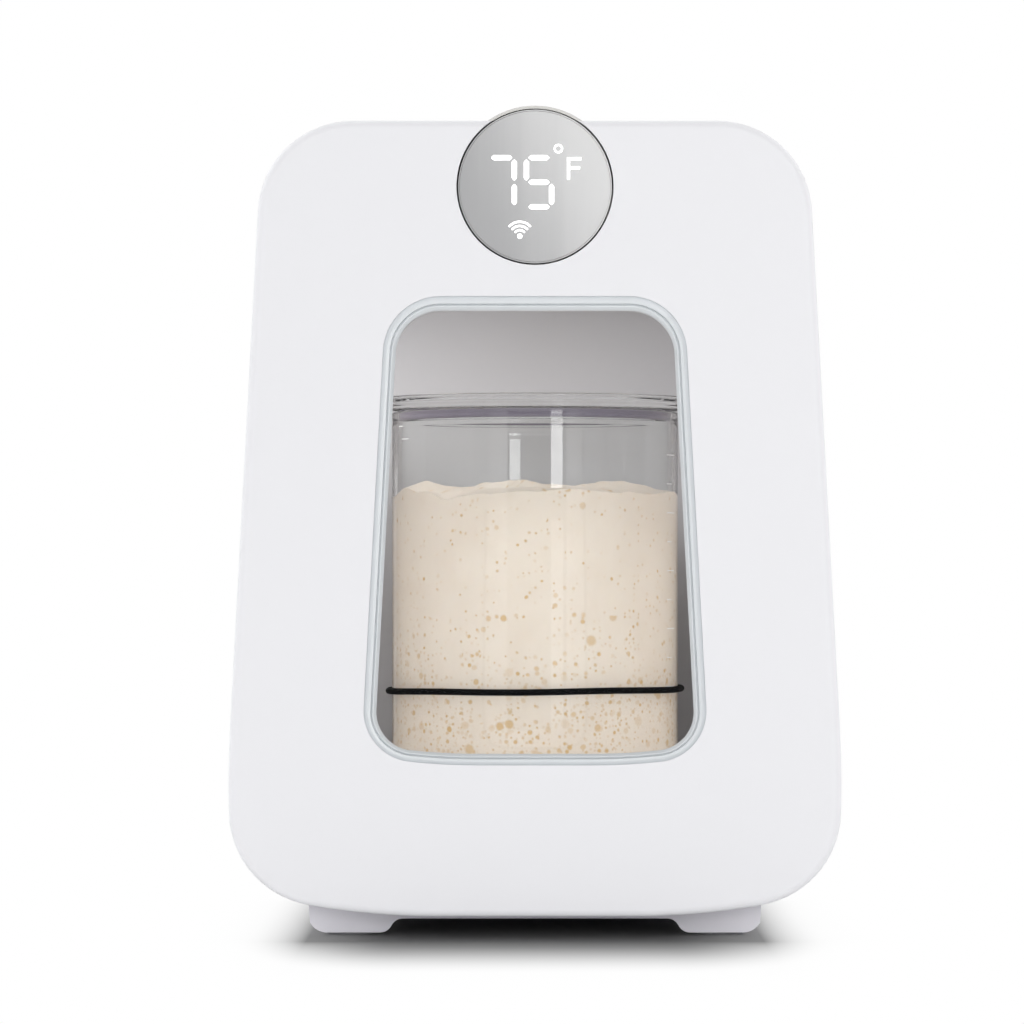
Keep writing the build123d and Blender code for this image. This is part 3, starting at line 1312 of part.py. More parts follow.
with BuildPart() as jar_lid:
    with BuildSketch(Plane.XY.offset(LID_BOTTOM)):
        with Locations((0, JAR_Y)):
            Circle(LID_RADIUS)
    extrude(amount=LID_TOP - LID_BOTTOM)
    fillet(jar_lid.edges(), radius=LID_EDGE)
    with BuildSketch(Plane.XY.offset(PLUG_BOTTOM)):
        with Locations((0, JAR_Y)):
            Circle(PLUG_RADIUS)
            Circle(PLUG_RADIUS - PLUG_HOLLOW, mode=Mode.SUBTRACT)
    extrude(amount=LID_BOTTOM - PLUG_BOTTOM)
save(jar_lid.part, "jar_lid")

with BuildPart() as lid_gasket:
    with BuildSketch(Plane.XY.offset(GASKET_HEIGHTS[0])):
        with Locations((0, JAR_Y)):
            Circle(GASKET_RADII[1])
            Circle(GASKET_RADII[0], mode=Mode.SUBTRACT)
    extrude(amount=GASKET_HEIGHTS[1] - GASKET_HEIGHTS[0])
save(lid_gasket.part, "lid_gasket")
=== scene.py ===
"""Looks of a countertop sourdough starter warmer: its finishes, its jar of starter and the studio."""

from __future__ import annotations

import logging
import math
from collections.abc import Callable
from dataclasses import dataclass
from enum import Enum

import bmesh
import bpy
from mathutils import Matrix, Vector, noise

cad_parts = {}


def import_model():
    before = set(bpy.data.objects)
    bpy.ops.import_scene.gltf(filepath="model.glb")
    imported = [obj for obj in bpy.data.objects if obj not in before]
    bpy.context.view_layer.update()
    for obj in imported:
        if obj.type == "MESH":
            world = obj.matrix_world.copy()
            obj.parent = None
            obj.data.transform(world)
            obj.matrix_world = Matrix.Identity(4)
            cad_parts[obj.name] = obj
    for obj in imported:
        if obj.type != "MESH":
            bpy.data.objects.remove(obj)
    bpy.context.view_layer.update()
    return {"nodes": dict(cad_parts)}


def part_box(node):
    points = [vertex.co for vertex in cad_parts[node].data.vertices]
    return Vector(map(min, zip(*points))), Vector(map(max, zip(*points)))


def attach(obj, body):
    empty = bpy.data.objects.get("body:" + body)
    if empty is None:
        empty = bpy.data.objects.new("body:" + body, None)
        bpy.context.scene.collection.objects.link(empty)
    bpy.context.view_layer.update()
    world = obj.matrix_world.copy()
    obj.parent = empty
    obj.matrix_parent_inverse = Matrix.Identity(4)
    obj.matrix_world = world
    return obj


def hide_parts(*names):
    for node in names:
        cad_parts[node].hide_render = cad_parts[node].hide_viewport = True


LOG = logging.getLogger("starter_warmer")
MM = 0.001
WELD = 1e-6

# Directions and turns
RIGHTWARD = (1.0, 0.0, 0.0)
LEFTWARD = (-1.0, 0.0, 0.0)
REARWARD = (0.0, 1.0, 0.0)
FRONTWARD = (0.0, -1.0, 0.0)
UPWARD = (0.0, 0.0, 1.0)
QUARTER_TURN = math.pi / 2
FULL_TURN = 2 * math.pi

# Transfer curve between 8-bit display colours and linear light
SRGB_KNEE = 0.04045
SRGB_SLOPE = 12.92
SRGB_OFFSET = 0.055
SRGB_POWER = 2.4

# Sockets of the Mix node when it mixes colours
MIX_FACTOR = 0
MIX_FIRST = 6
MIX_SECOND = 7
MIX_RESULT = 2

# Middle value of a noise texture
NOISE_MIDDLE = 0.5

# Rounding of sharp edges: facets, and the least angle between faces in radians
ROUND_SEGMENTS = 3
SHARP_ANGLE = 0.5

Color = tuple[float, float, float]
Triple = tuple[float, float, float]
Pair = tuple[float, float]
Node = bpy.types.Node
Socket = bpy.types.NodeSocket
Tree = bpy.types.NodeTree
Shape = bmesh.types.BMesh


class Body(Enum):
    """The rigid bodies that new pieces ride on."""

    CABINET = "cabinet"
    DOOR = "door"
    JAR = "jar"
    LID = "lid"


def linear(value: int) -> float:
    """Linear light of one channel of a display colour.

    Args:
        value: The channel from 0 to 255.

    Returns:
        The light from 0 to 1.
    """
    share = value / 255
    if share <= SRGB_KNEE:
        return share / SRGB_SLOPE
    return ((share + SRGB_OFFSET) / (1 + SRGB_OFFSET)) ** SRGB_POWER


def srgb(red: int, green: int, blue: int) -> Color:
    """Linear colour of a display colour with channels from 0 to 255."""
    return linear(red), linear(green), linear(blue)


@dataclass(frozen=True)
class NoiseLook:
    """How finely a noise texture is broken up."""

    detail: float = 2.0
    roughness: float = 0.5


class Graph:
    """Adds and links nodes in one node tree."""

    def __init__(self, tree: Tree) -> None:
        """Takes a tree and clears its nodes."""
        self.tree = tree
        tree.nodes.clear()

    def add(self, kind: str, inputs: dict | None = None, **settings: object) -> Node:
        """Adds one node.

        Args:
            kind: The node's type name.
            inputs: Socket values by name or index. A socket as a value is linked.
            **settings: Attributes of the node.

        Returns:
            The new node.
        """
        node = self.tree.nodes.new(kind)
        for name, value in settings.items():
            setattr(node, name, value)
        for name, value in (inputs or {}).items():
            if isinstance(value, Socket):
                self.link(value, node.inputs[name])
            else:
                node.inputs[name].default_value = value
        return node

    def link(self, source: Socket, target: Socket) -> None:
        """Links two sockets."""
        self.tree.links.new(source, target)

    def math(self, operation: str, first: object, *others: object) -> Socket:
        """Adds Math nodes of one operation in a row.

        Args:
            operation: The operation's name.
            first: First socket or value.
            *others: The further operands, each applied to the result so far.

        Returns:
            The result's socket.
        """
        for value in others or (0.0,):
            first = self.add("ShaderNodeMath", {0: first, 1: value}, operation=operation).outputs[0]
        return first

    def scaled(self, value: object, factor: object, offset: object) -> Socket:
        """Adds the nodes of value * factor + offset."""
        return self.math("ADD", self.math("MULTIPLY", value, factor), offset)

    def vector(self, operation: str, first: object, second: object) -> Socket:
        """Adds a Vector Math node."""
        return self.add("ShaderNodeVectorMath", {0: first, 1: second}, operation=operation).outputs[0]

    def place(self) -> Socket:
        """Adds the place of a point in the object's own coordinates."""
        return self.add("ShaderNodeTexCoord").outputs["Object"]

    def noise(self, place: Socket, scale: object, look: NoiseLook) -> Node:
        """Adds a noise texture."""
        inputs = {"Vector": place, "Scale": scale, "Detail": look.detail, "Roughness": look.roughness}
        return self.add("ShaderNodeTexNoise", inputs)

    def bump(self, height: object, strength: object, distance: object) -> Socket:
        """Adds a bump and gives its normal."""
        inputs = {"Height": height, "Strength": strength, "Distance": distance}
        return self.add("ShaderNodeBump", inputs).outputs[0]

    def ramp(self, value: object, low: object, high: object) -> Socket:
        """Maps a value from low..high to 0..1, smoothly and clamped.

        Args:
            value: The socket to map.
            low: Value that gives 0.
            high: Value that gives 1.

        Returns:
            The mapped value's socket.
        """
        inputs = {"Value": value, "From Min": low, "From Max": high}
        node = self.add("ShaderNodeMapRange", inputs, interpolation_type="SMOOTHSTEP")
        return node.outputs["Result"]

    def mix_color(self, factor: object, first: object, second: object) -> Socket:
        """Mixes two colours.

        Args:
            factor: Share of the second colour.
            first: First colour or socket.
            second: Second colour or socket.

        Returns:
            The mixed colour's socket.
        """
        inputs = {MIX_FACTOR: factor}
        for index, value in ((MIX_FIRST, first), (MIX_SECOND, second)):
            inputs[index] = value if isinstance(value, Socket) else (*value, 1.0)
        return self.add("ShaderNodeMix", inputs, data_type="RGBA").outputs[MIX_RESULT]


class GroupName(Enum):
    """Shared shader effects."""

    MOTTLE = "mottle"
    GRAIN = "grain"
    BRUSH = "brush"
    FOAM_BEADS = "foam_beads"


class EffectLibrary:
    """Makes each shared shader effect once, as a node group with named inputs and outputs."""

    cloud_look = NoiseLook(3.0, 0.55)
    grain_look = NoiseLook(2.0, 0.6)
    streak_look = NoiseLook(4.0, 0.7)
    streak_depth = 0.0001
    bead_depth = 0.0008

    def __init__(self) -> None:
        """Starts with no groups."""
        self.groups: dict[GroupName, Tree] = {}
        self.makers: dict[GroupName, Callable[[Tree], None]] = {
            GroupName.MOTTLE: self._mottle,
            GroupName.GRAIN: self._grain,
            GroupName.BRUSH: self._brush,
            GroupName.FOAM_BEADS: self._foam_beads,
        }

    def use(self, graph: Graph, name: GroupName, inputs: dict) -> Node:
        """Adds an effect to a material.

        Args:
            graph: The material's graph.
            name: The effect.
            inputs: Values or sockets by input name.

        Returns:
            The group node.
        """
        if name not in self.groups:
            tree = bpy.data.node_groups.new(name.value, "ShaderNodeTree")
            self.makers[name](tree)
            self.groups[name] = tree
        return graph.add("ShaderNodeGroup", inputs, node_tree=self.groups[name])

    @staticmethod
    def _frame(tree: Tree, inputs: dict, outputs: dict) -> tuple[Graph, dict]:
        """Declares a group's sockets and adds its input node.

        Args:
            tree: The group's tree.
            inputs: Socket kind by input name.
            outputs: Socket kind by output name.

        Returns:
            The graph and the input sockets by name.
        """
        graph = Graph(tree)
        for way, kinds in (("INPUT", inputs), ("OUTPUT", outputs)):
            for name, kind in kinds.items():
                tree.interface.new_socket(name=name, in_out=way, socket_type=f"NodeSocket{kind}")
        entry = graph.add("NodeGroupInput")
        return graph, {name: entry.outputs[name] for name in inputs}

    def _mottle(self, tree: Tree) -> None:
        """Faint cloudy change of a colour's value, as moulded resin has.

        Args:
            tree: The group's tree.
        """
        inputs = {"Color": "Color", "Scale": "Float", "Amount": "Float"}
        graph, sockets = self._frame(tree, inputs, {"Color": "Color", "Mask": "Float"})
        clouds = graph.noise(graph.place(), sockets["Scale"], self.cloud_look).outputs[0]
        value = graph.scaled(graph.math("SUBTRACT", clouds, NOISE_MIDDLE), sockets["Amount"], 1.0)
        tint = graph.add("ShaderNodeHueSaturation", {"Color": sockets["Color"], "Value": value}).outputs[0]
        graph.add("NodeGroupOutput", {"Color": tint, "Mask": clouds})

    def _grain(self, tree: Tree) -> None:
        """Fine bump of a moulded or cast surface.

        Args:
            tree: The group's tree.
        """
        inputs = {"Scale": "Float", "Strength": "Float", "Distance": "Float"}
        graph, sockets = self._frame(tree, inputs, {"Normal": "Vector"})
        grain = graph.noise(graph.place(), sockets["Scale"], self.grain_look).outputs[0]
        bump = graph.bump(grain, sockets["Strength"], sockets["Distance"])
        graph.add("NodeGroupOutput", {"Normal": bump})

    def _brush(self, tree: Tree) -> None:
        """Fine parallel streaks; Stretch squeezes the noise along each axis.

        Args:
            tree: The group's tree.
        """
        inputs = {"Stretch": "Vector", "Scale": "Float", "Strength": "Float"}
        graph, sockets = self._frame(tree, inputs, {"Mask": "Float", "Normal": "Vector"})
        squeezed = graph.vector("MULTIPLY", graph.place(), sockets["Stretch"])
        streaks = graph.noise(squeezed, sockets["Scale"], self.streak_look).outputs[0]
        bump = graph.bump(streaks, sockets["Strength"], self.streak_depth)
        graph.add("NodeGroupOutput", {"Mask": streaks, "Normal": bump})

    def _foam_beads(self, tree: Tree) -> None:
        """Close-packed beads of moulded foam.

        Args:
            tree: The group's tree.
        """
        inputs = {"Scale": "Float", "Strength": "Float"}
        graph, sockets = self._frame(tree, inputs, {"Mask": "Float", "Normal": "Vector"})
        cells = graph.add("ShaderNodeTexVoronoi", {"Vector": graph.place(), "Scale": sockets["Scale"]})
        beads = cells.outputs["Distance"]
        bump = graph.bump(graph.math("SUBTRACT", 1.0, beads), sockets["Strength"], self.bead_depth)
        graph.add("NodeGroupOutput", {"Mask": beads, "Normal": bump})


EFFECTS = EffectLibrary()


@dataclass(frozen=True)
class Finish:
    """A material made from nodes. Each kind of finish gives the inputs of its own shader."""

    name: str

    def shade(self, graph: Graph) -> dict:
        """Adds the finish's nodes.

        Args:
            graph: The material's graph.

        Returns:
            Values or sockets for the Principled shader, by input name.
        """
        raise NotImplementedError

    def make(self) -> bpy.types.Material:
        """Makes the material, or returns it where it already exists.

        Returns:
            The material.
        """
        key = f"finish_{self.name}"
        if key in bpy.data.materials:
            return bpy.data.materials[key]
        material = bpy.data.materials.new(key)
        material.use_nodes = True
        graph = Graph(material.node_tree)
        shader = graph.add("ShaderNodeBsdfPrincipled", self.shade(graph))
        graph.add("ShaderNodeOutputMaterial", {"Surface": shader.outputs[0]})
        return material

    @staticmethod
    def mottled(graph: Graph, color: Color, scale: float, amount: float) -> Node:
        """Adds the mottle effect to a colour."""
        inputs = {"Color": (*color, 1.0), "Scale": scale, "Amount": amount}
        return EFFECTS.use(graph, GroupName.MOTTLE, inputs)


@dataclass(frozen=True)
class Plastic(Finish):
    """Moulded plastic, paint or lacquer, with a faint mottle and a fine grain."""

    color: Color
    roughness: float = 0.4
    specular: float = 0.4
    mottle: float = 0.02
    mottle_scale: float = 14.0
    grain_scale: float = 2600.0
    grain_strength: float = 0.05
    grain_depth: float = 0.0002
    roughness_spread: float = 0.06

    def shade(self, graph: Graph) -> dict:
        """Adds the plastic's nodes.

        Args:
            graph: The material's graph.

        Returns:
            The shader's inputs.
        """
        tint = self.mottled(graph, self.color, self.mottle_scale, self.mottle)
        inputs = {"Scale": self.grain_scale, "Strength": self.grain_strength, "Distance": self.grain_depth}
        grain = EFFECTS.use(graph, GroupName.GRAIN, inputs)
        least = self.roughness - self.roughness_spread / 2
        return {
            "Base Color": tint.outputs["Color"],
            "Roughness": graph.scaled(tint.outputs["Mask"], self.roughness_spread, least),
            "Specular IOR Level": self.specular,
            "Normal": grain.outputs["Normal"],
        }


@dataclass(frozen=True)
class Rubber(Plastic):
    """Soft rubber or silicone: rough, with a dusty bloom."""

    roughness: float = 0.62
    specular: float = 0.3
    mottle: float = 0.1
    mottle_scale: float = 60.0
    grain_scale: float = 3500.0
    grain_strength: float = 0.15


@dataclass(frozen=True)
class Metal(Finish):
    """Plain drawn, extruded or plated metal with streaks along one axis."""

    color: Color
    roughness: float = 0.32
    stretch: Triple = (1.0, 1.0, 0.04)
    streak_scale: float = 900.0
    streak_strength: float = 0.12
    streak: float = 0.08

    def shade(self, graph: Graph) -> dict:
        """Adds the metal's nodes.

        Args:
            graph: The material's graph.

        Returns:
            The shader's inputs.
        """
        inputs = {"Stretch": self.stretch, "Scale": self.streak_scale, "Strength": self.streak_strength}
        brush = EFFECTS.use(graph, GroupName.BRUSH, inputs)
        mask = brush.outputs["Mask"]
        darker = tuple(channel * (1 - 2 * self.streak) for channel in self.color)
        return {
            "Base Color": graph.mix_color(mask, darker, self.color),
            "Metallic": 1.0,
            "Roughness": graph.scaled(mask, 2 * self.streak, self.roughness - self.streak),
            "Normal": brush.outputs["Normal"],
        }


@dataclass(frozen=True)
class Foam(Finish):
    """Moulded bead foam, with painted shade in the seams between beads."""

    color: Color
    bead_scale: float = 260.0
    bead_strength: float = 0.5
    edge_shade: float = 0.86
    roughness: float = 0.8
    specular: float = 0.2

    def shade(self, graph: Graph) -> dict:
        """Adds the foam's nodes.

        Args:
            graph: The material's graph.

        Returns:
            The shader's inputs.
        """
        inputs = {"Scale": self.bead_scale, "Strength": self.bead_strength}
        beads = EFFECTS.use(graph, GroupName.FOAM_BEADS, inputs)
        # Painted shade: each bead darkens towards its edge, in the seams between beads.
        darker = tuple(channel * self.edge_shade for channel in self.color)
        return {
            "Base Color": graph.mix_color(beads.outputs["Mask"], self.color, darker),
            "Roughness": self.roughness,
            "Specular IOR Level": self.specular,
            "Normal": beads.outputs["Normal"],
        }


@dataclass(frozen=True)
class ClearGlass(Finish):
    """Solid glass that bends light."""

    color: Color = (0.975, 0.985, 0.98)
    ior: float = 1.46
    cloud_scale: float = 30.0
    cloud: float = 0.01

    def shade(self, graph: Graph) -> dict:
        """Adds the glass's nodes.

        Args:
            graph: The material's graph.

        Returns:
            The shader's inputs.
        """
        tint = self.mottled(graph, self.color, self.cloud_scale, self.cloud)
        return {
            "Base Color": tint.outputs["Color"],
            "Roughness": 0.0,
            "IOR": self.ior,
            "Transmission Weight": 1.0,
        }


@dataclass(frozen=True)
class PaneGlass(Finish):
    """Flat window glass: see-through, with a faint film of its own."""

    color: Color = (0.05, 0.055, 0.06)
    alpha: float = 0.025
    specular: float = 0.15
    smear_scale: float = 12.0
    smear: float = 0.06
    smear_roughness: float = 0.05

    def shade(self, graph: Graph) -> dict:
        """Adds the pane's nodes.

        Args:
            graph: The material's graph.

        Returns:
            The shader's inputs.
        """
        smears = self.mottled(graph, self.color, self.smear_scale, self.smear)
        return {
            "Base Color": smears.outputs["Color"],
            "Roughness": graph.math("MULTIPLY", smears.outputs["Mask"], self.smear_roughness),
            "Specular IOR Level": self.specular,
            "Alpha": self.alpha,
        }


@dataclass(frozen=True)
class DialMetal(Finish):
    """Silver face of the dial, its radius in metres: lengthwise streaks over a painted sheen that lightens
    to the upper right.
    """

    # Painted sheen: the dark and the bright end of a gradient painted into the base colour.
    shadow: Color = srgb(161, 161, 162)
    light: Color = srgb(196, 196, 196)
    radius: float = 26.3 * MM
    roughness: float = 0.36
    slant_across: float = 0.5
    slant_up: float = 0.24
    fine_stretch: Triple = (1.0, 1.0, 0.02)
    fine_scale: float = 420.0
    fine_strength: float = 0.03
    fine_share: float = 0.12
    broad_stretch: Triple = (1.0, 1.0, 0.05)
    broad_scale: float = 60.0
    broad_share: float = 0.35
    painted_sheen_low: float = -0.5
    painted_sheen_high: float = 0.55

    def shade(self, graph: Graph) -> dict:
        """Adds the dial face's nodes.

        Args:
            graph: The material's graph.

        Returns:
            The shader's inputs.
        """
        low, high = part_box("display_lens")
        centred = graph.vector("SUBTRACT", graph.place(), tuple((low + high) / 2))
        axes = graph.add("ShaderNodeSeparateXYZ", {0: centred})
        across = graph.math("MULTIPLY", axes.outputs["X"], self.slant_across / self.radius)
        up = graph.math("MULTIPLY", axes.outputs["Z"], self.slant_up / self.radius)
        painted_slope = graph.math("ADD", across, up)
        inputs = {"Stretch": self.broad_stretch, "Scale": self.broad_scale, "Strength": 0.0}
        broad = EFFECTS.use(graph, GroupName.BRUSH, inputs)
        inputs = {"Stretch": self.fine_stretch, "Scale": self.fine_scale, "Strength": self.fine_strength}
        fine = EFFECTS.use(graph, GroupName.BRUSH, inputs)
        for streaks, share in ((broad, self.broad_share), (fine, self.fine_share)):
            wobble = graph.math("SUBTRACT", streaks.outputs["Mask"], NOISE_MIDDLE)
            painted_slope = graph.scaled(wobble, share, painted_slope)
        # Painted sheen: the slope, wobbled by the streaks, picks the base colour between the dark and the
        # bright end.
        sheen = graph.ramp(painted_slope, self.painted_sheen_low, self.painted_sheen_high)
        return {
            "Base Color": graph.mix_color(sheen, self.shadow, self.light),
            "Metallic": 1.0,
            "Roughness": self.roughness,
            "Normal": fine.outputs["Normal"],
        }


@dataclass(frozen=True)
class Glow(Finish):
    """Lit display segments."""

    color: Color = (1.0, 1.0, 1.0)
    unlit: Color = (0.9, 0.9, 0.9)
    strength: float = 1.1
    roughness: float = 0.4
    cloud_scale: float = 400.0
    cloud: float = 0.03

    def shade(self, graph: Graph) -> dict:
        """Adds the lit segments' nodes.

        Args:
            graph: The material's graph.

        Returns:
            The shader's inputs.
        """
        clouds = self.mottled(graph, self.color, self.cloud_scale, self.cloud)
        return {
            "Base Color": (*self.unlit, 1.0),
            "Roughness": self.roughness,
            "Emission Color": clouds.outputs["Color"],
            "Emission Strength": self.strength,
        }


@dataclass(frozen=True)
class BubbleLayer:
    """One size of gas bubble at the jar's wall: cell and radius in metres, share of cells low and high."""

    cell: float
    least_radius: float
    spread: float
    share_low: float
    share_high: float
    strength: float


@dataclass(frozen=True)
class Dough(Finish):
    """Live starter: pale batter with browner bubbles, more of them low in the jar, in metres."""

    color: Color = srgb(240, 229, 215)
    shade_color: Color = srgb(227, 212, 195)
    shade_share: float = 0.45
    bubble_color: Color = srgb(216, 180, 124)
    wall_radius: float = 0.0494
    low: float = 0.066
    high: float = 0.122
    cluster_scale: float = 55.0
    cluster_low: float = 0.35
    cluster_high: float = 0.65
    least_crowd: float = 0.35
    crowd_spread: float = 0.9
    scatter: float = 0.85
    size_power: float = 2.0
    softness: float = 0.5
    tone_power: float = 1.5
    least_tone: float = 0.25
    warp_scale: float = 350.0
    warp_reach: float = 0.0009
    cloud_scale: float = 45.0
    cloud_look: NoiseLook = NoiseLook(5.0, 0.6)
    cloud_low: float = 0.35
    cloud_high: float = 0.75
    cloud_height: float = 0.4
    bump_strength: float = 0.35
    bump_depth: float = 0.0006
    roughness: float = 0.5
    specular: float = 0.3
    depth_share: float = 0.15
    depth_color: Triple = (0.6, 0.45, 0.3)
    depth: float = 0.004
    layers: tuple[BubbleLayer, ...] = (
        BubbleLayer(0.0095, 0.0012, 0.0013, 0.75, 0.0, 0.85),
        BubbleLayer(0.0056, 0.0008, 0.0008, 0.9, 0.05, 0.9),
        BubbleLayer(0.0034, 0.0006, 0.0005, 0.85, 0.14, 0.9),
        BubbleLayer(0.0021, 0.0004, 0.0003, 0.8, 0.2, 0.85),
    )

    def _unrolled(self, graph: Graph, place: Socket) -> Socket:
        """Adds the place on the unrolled wall: along the wall, and up.

        Args:
            graph: The material's graph.
            place: Object coordinates.

        Returns:
            The unrolled coordinates in metres.
        """
        low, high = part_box("starter")
        axis = (low + high) / 2
        centred = graph.vector("SUBTRACT", place, (axis.x, axis.y, 0.0))
        axes = graph.add("ShaderNodeSeparateXYZ", {0: centred})
        behind = graph.math("MULTIPLY", axes.outputs["Y"], -1.0)
        angle = graph.math("ARCTAN2", axes.outputs["X"], behind)
        along = graph.math("MULTIPLY", angle, self.wall_radius)
        return graph.add("ShaderNodeCombineXYZ", {0: along, 1: axes.outputs["Z"]}).outputs[0]

    def _bubbles(self, graph: Graph, unrolled: Socket, layer: BubbleLayer) -> Socket:
        """Adds one layer of bubbles.

        Args:
            graph: The material's graph.
            unrolled: Unrolled coordinates.
            layer: The bubbles' size and number.

        Returns:
            A mask that is the layer's strength inside the bubbles.
        """
        inputs = {"Vector": unrolled, "Scale": 1 / layer.cell, "Randomness": self.scatter}
        cells = graph.add("ShaderNodeTexVoronoi", inputs, voronoi_dimensions="2D")
        chance = graph.add("ShaderNodeSeparateColor", {0: cells.outputs["Color"]}).outputs
        height = graph.add("ShaderNodeSeparateXYZ", {0: unrolled}).outputs["Y"]
        rise = graph.ramp(height, self.low, self.high)
        share = graph.scaled(rise, layer.share_high - layer.share_low, layer.share_low)
        clusters = graph.noise(unrolled, self.cluster_scale, NoiseLook()).outputs[0]
        gathered = graph.ramp(clusters, self.cluster_low, self.cluster_high)
        crowd = graph.scaled(gathered, self.crowd_spread, self.least_crowd)
        present = graph.math("LESS_THAN", chance[0], graph.math("MULTIPLY", share, crowd))
        away = graph.math("MULTIPLY", cells.outputs["Distance"], layer.cell)
        size = graph.math("POWER", chance[1], self.size_power)
        radius = graph.scaled(size, layer.spread, layer.least_radius)
        inside = graph.ramp(away, radius, graph.math("MULTIPLY", radius, self.softness))
        strong = graph.math("POWER", chance[2], self.tone_power)
        tone = graph.scaled(strong, 1 - self.least_tone, self.least_tone)
        return graph.math("MULTIPLY", tone, layer.strength, present, inside)

    def shade(self, graph: Graph) -> dict:
        """Adds the batter's nodes.

        Args:
            graph: The material's graph.

        Returns:
            The shader's inputs.
        """
        place = graph.place()
        warp = graph.noise(place, self.warp_scale, NoiseLook()).outputs[1]
        centred = graph.vector("SUBTRACT", warp, (NOISE_MIDDLE,) * 3)
        small = graph.vector("MULTIPLY", centred, (self.warp_reach,) * 3)
        bent = graph.vector("ADD", self._unrolled(graph, place), small)
        bubbles = graph.math("MAXIMUM", *[self._bubbles(graph, bent, layer) for layer in self.layers])
        clouds = graph.noise(place, self.cloud_scale, self.cloud_look).outputs[0]
        patch = graph.math("MULTIPLY", graph.ramp(clouds, self.cloud_low, self.cloud_high), self.shade_share)
        batter = graph.mix_color(patch, self.color, self.shade_color)
        height = graph.math("SUBTRACT", graph.math("MULTIPLY", clouds, self.cloud_height), bubbles)
        return {
            "Base Color": graph.mix_color(bubbles, batter, self.bubble_color),
            "Roughness": self.roughness,
            "Specular IOR Level": self.specular,
            "Subsurface Weight": self.depth_share,
            "Subsurface Radius": self.depth_color,
            "Subsurface Scale": self.depth,
            "Normal": graph.bump(height, self.bump_strength, self.bump_depth),
        }


WHITE = Plastic("white_plastic", srgb(236, 236, 239), roughness=0.42, mottle=0.012)
FRAME_WHITE = Plastic("frame_white", srgb(233, 233, 236), roughness=0.46, mottle=0.015)
# Painted shade: a darker, warmer copy of the cabinet's white stands in for the shade on the dial barrel's
# recessed, rounded ring.
SHADED_BARREL_WHITE = Plastic("barrel_shaded_white", srgb(222, 221, 217), roughness=0.38, mottle=0.015)
LINER = Plastic("liner_plastic", srgb(203, 202, 204), roughness=0.5)
PLATE_COAT = Plastic("plate_coating", srgb(202, 201, 203), roughness=0.5)
TRIM = Plastic("trim_plastic", srgb(217, 221, 224), roughness=0.3, specular=0.5, mottle=0.01)
FEET = Plastic("foot_plastic", srgb(236, 234, 240), roughness=0.5, mottle=0.03)
BLACK = Plastic("black_plastic", srgb(30, 30, 32), roughness=0.5, mottle=0.12, grain_strength=0.12)
BOARD = Plastic(
    "circuit_board", srgb(28, 92, 58), roughness=0.3, specular=0.5, mottle=0.25, mottle_scale=180.0
)
PAD_RUBBER = Rubber("pad_rubber", srgb(150, 150, 154))
SEAL_RUBBER = Rubber("seal_rubber", srgb(176, 177, 181))
DARK_RUBBER = Rubber("dark_rubber", srgb(12, 12, 13), mottle=0.2)
GASKET_RUBBER = Rubber("gasket_rubber", srgb(124, 117, 130), roughness=0.35)
BAND_RUBBER = Rubber("band_rubber", srgb(4, 4, 4), specular=0.04)
TICK_PRINT = Plastic("tick_print", srgb(240, 240, 240), roughness=0.6)
BEAD_FOAM = Foam("bead_foam", srgb(233, 233, 230))
ALUMINIUM = Metal("extruded_aluminium", srgb(190, 192, 195), roughness=0.35)
STEEL = Metal("plain_steel", srgb(172, 174, 177), roughness=0.3)
SCREWS = Metal("plated_screws", srgb(186, 188, 190), roughness=0.22, stretch=(1.0, 1.0, 1.0))
CERAMIC = Plastic("module_ceramic", srgb(238, 238, 234), roughness=0.6, mottle=0.05)
DIAL = DialMetal("dial_metal")
LIGHT = Glow("display_light")
PANE = PaneGlass("window_glass")
JAR_GLASS = ClearGlass("jar_glass")
LID_GLASS = ClearGlass("lid_glass", ior=1.3)
STARTER = Dough("starter_dough")


def spun(shape: Shape, axis: Vector, steps: int) -> None:
    """Spins everything in a shape once round a vertical axis.

    Args:
        shape: The shape.
        axis: A point on the axis, in metres.
        steps: Number of steps of the turn.
    """
    bmesh.ops.spin(
        shape,
        geom=shape.verts[:] + shape.edges[:],
        cent=(axis.x, axis.y, 0.0),
        axis=UPWARD,
        angle=FULL_TURN,
        steps=steps,
        use_merge=True,
    )


def turned(profile: list[Pair], axis: Vector, steps: int, closed: bool = False) -> Shape:
    """Turns a profile once round a vertical axis.

    Args:
        profile: Radius and height of each point, in millimetres.
        axis: A point on the axis, in metres.
        steps: Number of steps of the turn.
        closed: Whether the profile is a ring that doesn't meet the axis.

    Returns:
        The turned shape.
    """
    shape = bmesh.new()
    verts = [shape.verts.new((axis.x + radius * MM, axis.y, height * MM)) for radius, height in profile]
    for first, second in zip(verts, verts[1:]):
        shape.edges.new((first, second))
    if closed:
        shape.edges.new((verts[-1], verts[0]))
    spun(shape, axis, steps)
    bmesh.ops.remove_doubles(shape, verts=shape.verts, dist=WELD)
    bmesh.ops.recalc_face_normals(shape, faces=shape.faces)
    return shape


def rounded(shape: Shape, edges: list, width: float, segments: int) -> None:
    """Rounds edges.

    Args:
        shape: The shape.
        edges: The edges to round.
        width: Width of the rounding, in millimetres.
        segments: Number of facets in each rounding.
    """
    bmesh.ops.bevel(
        shape,
        geom=edges,
        offset=width * MM,
        segments=segments,
        profile=0.5,
        affect="EDGES",
        material=-1,
        clamp_overlap=True,
    )


def soften(shape: Shape, width: float) -> None:
    """Rounds all sharp edges of a shape by a width in millimetres."""
    sharp = [edge for edge in shape.edges if edge.is_manifold and edge.calc_face_angle() > SHARP_ANGLE]
    rounded(shape, sharp, width, ROUND_SEGMENTS)


